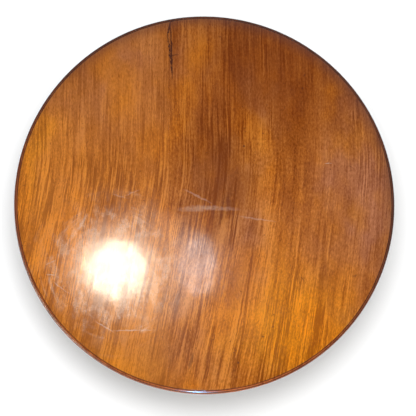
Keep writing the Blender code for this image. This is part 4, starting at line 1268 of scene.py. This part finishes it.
@dataclass
class Pillar:
    """The turned pillar with the block on it."""

    drum_radius: float = DRUM_RADIUS
    drum_bottom: float = DRUM_BOTTOM
    drum_top: float = 0.314
    drum_arris: float = 0.003
    base_bead: Point = (0.060, 0.014)
    base_cove: Point = (0.050, 0.022)
    waist: float = 0.034
    vase: float = 0.057
    vase_steps: int = 44
    belly: float = 0.24
    neck: float = 0.029
    neck_bead: Point = (0.037, 0.011)
    capital_cove_height: float = 0.030
    capital: float = 0.054
    capital_neck: float = 0.049
    capital_bead_height: float = 0.016
    fillet: float = 0.004
    top: float = 0.6594
    tenon_radius: float = 0.026
    tenon_top: float = 0.7091
    line_drop: float = 0.007
    line_depth: float = 0.0010
    line_width: float = 0.0030
    block_soft: Point = (0.0015, 0.010)
    facets: int = 128

    @staticmethod
    def bead(radius: float, waist: float, bottom: float, height: float) -> list[Point]:
        """Give a rounded ring from a waist out to a radius and back."""
        return arc((waist, bottom + height / 2), (radius - waist, height / 2), -90, 90, 16)

    def vase_line(self, bottom: float, top: float) -> list[Point]:
        """Give the vase: full low down, drawn in to a waist below and a neck above."""
        belly = blend(bottom, top, self.belly)
        points = []
        for step in range(1, self.vase_steps + 1):
            height = blend(bottom, top, step / self.vase_steps)
            end, end_radius = (bottom, self.waist) if height < belly else (top, self.neck)
            swell = (1 + math.cos(math.pi * (height - belly) / (end - belly))) / 2
            points.append((blend(end_radius, self.vase, swell), height))
        return points

    def incised(self, height: float) -> list[Point]:
        """Give a shallow line cut round the drum."""
        half = self.line_width / 2
        radius = self.drum_radius
        return [(radius, height - half), (radius - self.line_depth, height), (radius, height + half)]

    def profile(self) -> list[Point]:
        """Give the half section from the bottom of the drum to the top of the tenon."""
        inner = self.drum_radius - self.drum_arris
        points = [(0.0, self.drum_bottom), (inner, self.drum_bottom)]
        points += arc((inner, self.drum_bottom + self.drum_arris), (self.drum_arris,) * 2, -90, 0, 5)[1:]
        points += self.incised(self.drum_top - self.line_drop)
        points += [(self.drum_radius, self.drum_top)]
        points += self.bead(self.base_bead[0], inner, self.drum_top, self.base_bead[1])
        bead_top = self.drum_top + self.base_bead[1]
        cove_radius, cove_height = self.base_cove
        waist = bead_top + self.fillet + cove_height
        points += [(cove_radius, bead_top)]
        points += arc((cove_radius, waist), (cove_radius - self.waist, cove_height), 270, 180, 14)
        capital_bead = self.top - self.fillet - self.capital_bead_height
        neck_top = capital_bead - self.fillet - self.capital_cove_height
        neck = neck_top - self.neck_bead[1]
        points += self.vase_line(waist, neck)
        points += self.bead(self.neck_bead[0], self.neck, neck, self.neck_bead[1])
        flare = self.capital_neck - self.neck
        points += arc((self.capital_neck, neck_top), (flare, self.capital_cove_height), 180, 90, 16)[1:]
        points += self.bead(self.capital, self.capital_neck, capital_bead, self.capital_bead_height)
        points += [(self.capital_neck, self.top), (self.tenon_radius, self.top)]
        return points + [(self.tenon_radius, self.tenon_top), (0.0, self.tenon_top)]

    def build(self, finishes: Finishes) -> None:
        """Make the pillar and the softened block."""
        home = Home("base", Slot.BASE_WOOD, "pillar")
        settle("turned_pillar", spun(self.profile(), self.facets), (finishes.turned,), home)
        home = Home("base", Slot.BASE_WOOD, "block")
        settle("softened_block", softened(home.node, *self.block_soft), (finishes.block,), home)

    def dress(self, finishes: Finishes) -> None:
        """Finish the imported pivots, wedges and iron plate."""
        for side in ("front", "back"):
            dress_node(f"pivot_pin_{side}", finishes.iron)
        for side in ("left", "right"):
            dress_node(f"tenon_wedge_{side}", finishes.underside)
        dress_node("leg_plate", finishes.iron)
        for number in range(1, len(LEG_ANGLES) + 1):
            dress_node(f"plate_screw_{number}", finishes.iron)


@dataclass
class Leg:
    """One swept leg with its brass toe cap, in the frame of the leg: out along +X."""

    number: int
    angle: float
    drum_radius: float = DRUM_RADIUS
    drum_bottom: float = DRUM_BOTTOM
    root_top: float = 0.302
    buried: float = 0.040
    flat: float = 0.050
    reach: float = 0.400
    root_width: float = 0.054
    toe_width: float = 0.038
    toe_bottom: float = 0.0558
    toe_top: float = 0.0918
    root_round: float = 0.014
    toe_round: float = 0.004
    lower_arris: float = 0.0015
    knee: float = 0.110
    sweep: float = 0.186
    lower_knee: float = 0.075
    lower_sweep: float = 0.159
    lower_rise: float = 0.016
    lower_fall: float = 0.017
    instep_rise: float = 0.004
    stations: int = 56
    cap_start: float = 0.4003
    cap_length: float = 0.056
    lip_length: float = 0.006
    lip_rise: float = 0.0012
    front_round: float = 0.004
    boss_bottom: float = 0.0468
    boss_radius: float = 0.012
    boss_sunk: float = 0.001
    boss_inset: float = 0.001
    boss_shoulder: Point = (0.0035, 0.0025)
    boss_round: float = 0.0012
    boss_facets: int = 40

    @property
    def turn(self) -> Matrix:
        """The leg's turn about the pillar."""
        return Matrix.Rotation(math.radians(self.angle), 4, "Z")

    def section(self, low: Point, high: Point, width: float, top_round: float) -> list[Vector]:
        """Give a section, square below and rounded above.

        Args:
            low: Point of the lower outline.
            high: Point of the upper outline.
            width: Width of the section.
            top_round: Radius of its upper corners.

        Returns:
            Its points, in the leg's frame.
        """
        up = Vector((high[0] - low[0], 0, high[1] - low[1]))
        height = up.length
        up.normalize()
        half = width / 2
        arris = self.lower_arris
        side = arc((half - arris, arris), (arris, arris), -90, 0, 3)
        side += arc((half - top_round, height - top_round), (top_round, top_round), 0, 90, 9)
        other = [(-y, z) for y, z in reversed(side)]
        base = Vector((low[0], 0, low[1]))
        return [base + Vector((0, y, 0)) + up * z for y, z in side + other]

    def outlines(self) -> tuple[list[Point], list[Point]]:
        """Give the control points of the upper and lower outlines."""
        upper = [(self.drum_radius, self.root_top), (self.drum_radius + self.knee, self.root_top)]
        upper += [(self.reach - self.sweep, self.toe_top + self.instep_rise), (self.reach, self.toe_top)]
        flat_end = self.drum_radius + self.flat
        lower = [(flat_end, self.drum_bottom)]
        lower += [(flat_end + self.lower_knee, self.drum_bottom + self.lower_rise)]
        lower += [(self.reach - self.lower_sweep, self.toe_bottom + self.lower_fall)]
        lower += [(self.reach, self.toe_bottom)]
        return upper, lower

    def body(self) -> Shape:
        """Draw the leg from inside the drum to the toe cap."""
        upper, lower = self.outlines()
        root = (self.buried, self.drum_bottom), (self.buried, self.root_top)
        sections = [self.section(*root, self.root_width, self.root_round)]
        for step in range(self.stations + 1):
            share = step / self.stations
            width = blend(self.root_width, self.toe_width, share)
            top_round = blend(self.root_round, self.toe_round, share)
            sections.append(self.section(bezier(lower, share), bezier(upper, share), width, top_round))
        return drawn(sections)

    def cap_section(self, reach: float, grow: float) -> list[Vector]:
        """Give a section of the toe cap, grown or shrunk about its middle."""
        middle = Vector((reach, 0, (self.toe_bottom + self.toe_top) / 2))
        full = self.section((reach, self.toe_bottom), (reach, self.toe_top), self.toe_width, self.toe_round)
        share = 1 + 2 * grow / self.toe_width
        return [middle + (point - middle) * share for point in full]

    def boss(self) -> list[Point]:
        """Give the half section of the boss under the cap, from its top down."""
        top = self.toe_bottom + self.boss_sunk
        radius = self.boss_radius
        neck = radius - self.boss_inset
        shoulder, foot = (self.boss_bottom + rise for rise in self.boss_shoulder)
        points = [(0.0, top), (radius, top), (radius, shoulder), (neck, foot)]
        points += arc((neck, self.boss_bottom + self.boss_round), (self.boss_round,) * 2, 90, -90, 6)
        return points + [(0.0, self.boss_bottom)]

    def cap(self) -> Shape:
        """Draw the toe cap with its rolled lip and rounded front, and turn its boss."""
        end = self.cap_start + self.cap_length
        half_lip = self.lip_length / 2
        lip = arc((self.cap_start + half_lip, 0.0), (half_lip, self.lip_rise), 180, 0, 10)
        front = arc((end - self.front_round, -self.front_round), (self.front_round,) * 2, 90, 0, 7)
        shell = drawn([self.cap_section(reach, grow) for reach, grow in lip + front])
        return joined([shell, spun(self.boss(), self.boss_facets, (CASTOR_REACH, 0.0))])

    def build(self, finishes: Finishes) -> None:
        """Make the leg and its toe cap."""
        wood = finishes.leg(self.number, math.radians(self.angle))
        home = Home("base", Slot.BASE_WOOD, f"leg_{self.number}")
        settle(f"swept_leg_{self.number}", turned_by(self.body(), self.turn), (wood,), home)
        home = Home("base", Slot.BRASS, f"toe_cap_{self.number}")
        settle(f"rolled_toe_cap_{self.number}", turned_by(self.cap(), self.turn), (finishes.brass,), home)

    def dress(self, finishes: Finishes) -> None:
        """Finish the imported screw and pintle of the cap."""
        dress_node(f"cap_screw_{self.number}", finishes.brass)
        dress_node(f"pintle_{self.number}", finishes.brass)


@dataclass
class Castor:
    """One brass castor: a fork that swivels and a wheel on its axle, at rest trailing outwards."""

    number: int
    angle: float
    trail: float = 0.016
    axle_height: float = 0.018766
    pintle_bore: float = 0.0038
    crown_bottom: float = 0.0425
    crown_top: float = 0.0465
    crown_radius: float = 0.014
    crown_round: float = 0.0012
    arm_inner: float = 0.0086
    arm_thickness: float = 0.003
    arm_back: float = 0.008
    arm_front: float = 0.012
    arm_sunk: float = 0.0006
    arm_round: float = 0.0007
    eye_radius: float = 0.006
    eye_angles: Point = (205.0, 385.0)
    wheel_radius: float = 0.01875
    wheel_width: float = 0.016
    wheel_dish: float = 0.0025
    rim_height: float = 0.0045
    rim_fillet: Point = (0.0008, 0.0006)
    rim_arris: tuple[Point, ...] = ((0.0003, -0.0004), (0.0008, 0.0))
    tread_round: float = 0.0015
    hub_radius: float = 0.007
    hub_arris: Point = (0.0006, 0.0005)
    hub_fillet: Point = (0.0008, 0.0004)
    bore: float = 0.0028
    facets: int = 64

    @property
    def swivel(self) -> Matrix:
        """Place of the swivel's frame in the table's frame."""
        return Matrix.Rotation(math.radians(self.angle), 4, "Z") @ Matrix.Translation((CASTOR_REACH, 0, 0))

    @property
    def axle(self) -> Matrix:
        """Place of the axle's frame in the table's frame, its length along its own Z."""
        place = Matrix.Translation((self.trail, 0, self.axle_height))
        return self.swivel @ place @ Matrix.Rotation(-math.pi / 2, 4, "X")

    def arm(self, side: int) -> Shape:
        """Draw one arm of the fork with rounded edges, down to the eye of the axle."""
        high = self.crown_top - self.arm_sunk
        outline = [(self.arm_front, high), (-self.arm_back, high), (-self.arm_back, self.crown_bottom)]
        outline += arc((self.trail, self.axle_height), (self.eye_radius,) * 2, *self.eye_angles, 18)
        outline += [(self.arm_front, self.crown_bottom)]
        low = self.arm_inner if side > 0 else -self.arm_inner - self.arm_thickness
        corners = [Vector((x, low, z)) for x, z in outline]
        return plate(corners, Vector((0, self.arm_thickness, 0)), self.arm_round)

    def fork(self) -> Shape:
        """Turn the crown and add the two arms."""
        waist = self.crown_radius - self.crown_round
        middle = (self.crown_bottom + self.crown_top) / 2
        profile = [(self.pintle_bore, self.crown_bottom), (waist, self.crown_bottom)]
        profile += arc((waist, middle), (self.crown_round, self.crown_top - middle), -90, 90, 8)
        profile += [(self.pintle_bore, self.crown_top)]
        return joined([spun(profile, self.facets, ring=True), self.arm(-1), self.arm(1)])

    def wheel(self) -> Shape:
        """Turn the wheel: hub, dished web and a rim with a rounded tread."""
        face = self.wheel_width / 2
        web = face - self.wheel_dish
        hub = self.hub_radius
        rim = self.wheel_radius - self.rim_height
        tread = self.tread_round
        arris_out, arris_down = self.hub_arris
        fillet_out, fillet_up = self.hub_fillet
        rim_in, rim_up = self.rim_fillet
        half = [(self.bore, face), (hub - arris_out, face), (hub, face - arris_down)]
        half += [(hub + fillet_out, web + fillet_up), (hub + 2 * fillet_out, web)]
        half += [(rim - rim_in, web), (rim, web + rim_up)]
        half += [(rim + out, face + up) for out, up in self.rim_arris]
        half += arc((self.wheel_radius - tread, face - tread), (tread, tread), 90, 0, 5)
        return spun(half + [(radius, -height) for radius, height in reversed(half)], self.facets, ring=True)

    def build(self, finishes: Finishes) -> None:
        """Make the fork and the wheel."""
        brass = (finishes.brass,)
        home = Home(f"castor_{self.number}", Slot.BRASS, f"castor_fork_{self.number}")
        settle(f"rounded_fork_{self.number}", turned_by(self.fork(), self.swivel), brass, home)
        home = Home(f"wheel_{self.number}", Slot.BRASS, f"castor_wheel_{self.number}")
        settle(f"turned_wheel_{self.number}", turned_by(self.wheel(), self.axle), brass, home)

    def dress(self, finishes: Finishes) -> None:
        """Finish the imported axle."""
        dress_node(f"castor_axle_{self.number}", finishes.steel)


@dataclass(frozen=True)
class Lamp:
    """An area lamp: place, size, power, colour, what it lights, and what it faces if not the floor."""

    name: str
    place: Place
    size: Point
    power: float
    colour: Colour
    reach: Reach
    target: Optional[Place] = None

    def build(self, receivers: Mapping[Reach, bpy.types.Collection]) -> None:
        """Add the lamp to the scene.

        Args:
            receivers: What the lamps light that are kept to a few pieces.
        """
        light = bpy.data.lights.new(self.name, "AREA")
        light.shape = "ELLIPSE"
        light.size, light.size_y = self.size
        light.energy = self.power
        light.color = self.colour
        lamp = bpy.data.objects.new(self.name, light)
        lamp.location = self.place
        target = self.target or (self.place[0], self.place[1], 0.0)
        aim = Vector(target) - Vector(self.place)
        lamp.rotation_euler = aim.to_track_quat("-Z", "Y").to_euler()
        lamp.visible_diffuse = self.reach not in (Reach.GLOSS, Reach.TOP_GLOSS)
        lamp.visible_glossy = self.reach is not Reach.MATT
        lamp.light_linking.receiver_collection = receivers.get(self.reach)
        bpy.context.scene.collection.objects.link(lamp)


@dataclass
class Studio:
    """The stage: camera over the top, lamps, a white floor and a pale surrounding."""

    foot: Point = (-0.07, -0.21)
    top: float = TOP_HIGH
    height: float = 1.30
    lean: Point = (0.63, 3.42)
    sensor: float = 36.0
    focal_pixels: float = 420.9
    frame_pixels: int = 416
    shift: Point = (0.0493, 0.0817)
    floor_reach: float = 14.0
    floor_colour: Colour = (0.89, 0.90, 0.915)
    floor_glow: float = 0.06
    glow_start: float = 0.95
    glow_end: float = 2.0
    ambient: float = 0.40
    zenith: float = 0.06
    zenith_edge: Point = (0.35, 0.85)

    def lamps(self) -> list[Lamp]:
        """Give the key, its hot middle, a second bulb, a soft screen, the floor's light and a window."""
        high = self.top + self.height
        warm = (1.0, 0.94, 0.78)
        cream = (1.0, 0.95, 0.86)
        cool = (0.86, 0.93, 1.0)
        blue = (0.20, 0.58, 1.0)
        return [
            Lamp("soft_key", (-0.334, -0.21, high), (0.98, 0.70), 3.5, warm, Reach.GLOSS),
            Lamp("hot_middle", (-0.48, -0.22, high - 0.005), (0.38, 0.37), 10.5, warm, Reach.GLOSS),
            Lamp("second_bulb", (0.014, -0.20, high - 0.01), (0.24, 0.36), 1.25, cool, Reach.GLOSS),
            Lamp("screen", (0.05, -0.26, 2.20), (1.4, 1.2), 16.6, cream, Reach.MATT),
            Lamp(
                "floor_light", (-0.063, -0.037, 1.98), (0.36, 0.36), 38.0, WHITE, Reach.FLOOR, (0.0, 0.0, 0.0),
            ),
            Lamp("window", (-0.02, -2.3, 1.6), (0.16, 0.60), 130.0, blue, Reach.TOP_GLOSS, (0.0, 0.0, 0.5)),
        ]

    def camera(self) -> None:
        """Stand the camera over the top, leaning as the photograph's did."""
        data = bpy.data.cameras.new("camera")
        data.sensor_width = self.sensor
        data.lens = self.sensor * self.focal_pixels / self.frame_pixels
        data.shift_x, data.shift_y = self.shift
        camera = bpy.data.objects.new("camera", data)
        camera.location = (*self.foot, self.top + self.height)
        forward = Vector((*(math.tan(math.radians(angle)) for angle in self.lean), -1.0))
        right = forward.cross(Vector((0, 1, 0))).normalized()
        up = right.cross(forward).normalized()
        turn = Matrix((right, up, -forward.normalized())).transposed()
        camera.rotation_euler = turn.to_euler()
        bpy.context.scene.collection.objects.link(camera)
        bpy.context.scene.camera = camera

    @staticmethod
    def seen(graph: Graph) -> Signal:
        """Give 1 for what the camera sees itself, in gloss or through glass."""
        camera = graph.node("LightPath", {}, {}, "Is Camera Ray")
        outputs = camera.socket.node.outputs
        glossy = Signal(graph, outputs["Is Glossy Ray"])
        through = Signal(graph, outputs["Is Transmission Ray"])
        return graph.math("MINIMUM", camera + glossy + through, 1.0)

    @staticmethod
    def gathered(name: str, items: Iterable[Piece]) -> bpy.types.Collection:
        """Gather objects in a collection that a lamp can be kept to."""
        group = bpy.data.collections.new(name)
        for item in items:
            group.objects.link(item)
        return group

    def floor_finish(self) -> Material:
        """Make the floor's finish: white, glowing far out, and clear when seen from below."""
        material, graph = new_graph("white_floor")
        x, y, _ = graph.parts(graph.place())
        far = graph.radius(x, y).step(self.glow_start, self.glow_end)
        glow = self.seen(graph) * far.line(0.0, 1.0, self.floor_glow, 1.0)
        matte = graph.node("BsdfDiffuse", {}, {"Color": self.floor_colour})
        light = graph.node("Emission", {}, {"Color": WHITE, "Strength": glow})
        white = graph.node("AddShader", {}, {0: matte, 1: light})
        clear = graph.node("BsdfTransparent", {}, {})
        below = graph.node("NewGeometry", {}, {}, "Backfacing")
        floor = graph.node("MixShader", {}, {0: below, 1: white, 2: clear})
        graph.node("OutputMaterial", {}, {"Surface": floor})
        return material

    def floor(self) -> Piece:
        """Lay a white floor that keeps the table's shadow."""
        shape = bmesh.new()
        bmesh.ops.create_circle(shape, cap_ends=True, segments=96, radius=self.floor_reach)
        mesh = bpy.data.meshes.new("floor")
        shape.to_mesh(mesh)
        shape.free()
        mesh.materials.append(self.floor_finish())
        floor = bpy.data.objects.new("floor", mesh)
        bpy.context.scene.collection.objects.link(floor)
        return floor

    def surroundings(self) -> None:
        """Light the scene from all round, white to the camera and greyer overhead to the polish."""
        world = bpy.data.worlds.new("surroundings")
        world.use_nodes = True
        bpy.context.scene.world = world
        graph = Graph(world.node_tree)
        _, _, z = graph.parts(graph.node("TexCoord", {}, {}, "Generated"))
        camera = graph.node("LightPath", {}, {}, "Is Camera Ray")
        overhead = z.step(*self.zenith_edge) * (1 - camera)
        pale = overhead.line(0.0, 1.0, 1.0, self.zenith)
        seen = self.seen(graph)
        strength = seen * pale + (1 - seen) * self.ambient
        sky = graph.node("Background", {}, {"Color": WHITE, "Strength": strength})
        graph.node("OutputWorld", {}, {"Surface": sky})

    def build(self, boards: Iterable[Piece]) -> None:
        """Set the whole stage.

        Args:
            boards: Boards of the table's top.
        """
        bpy.context.scene.view_settings.view_transform = "Standard"
        self.camera()
        self.surroundings()
        receivers = {
            Reach.FLOOR: self.gathered("ground", [self.floor()]),
            Reach.TOP_GLOSS: self.gathered("boards", boards),
        }
        for lamp in self.lamps():
            lamp.build(receivers)


def main() -> None:
    """Build and dress each sub-assembly, then set the stage."""
    logging.basicConfig(level=logging.INFO, format="%(name)s: %(message)s")
    finishes = Finishes()
    table_top = TableTop()
    assemblies: list[Assembly] = [table_top, Catch(), Pillar()]
    for number, angle in enumerate(LEG_ANGLES, start=1):
        assemblies += [Leg(number, angle), Castor(number, angle)]
    for assembly in assemblies:
        assembly.build(finishes)
        assembly.dress(finishes)
    Studio().build(table_top.boards)


if __name__ == "__main__":
    main()
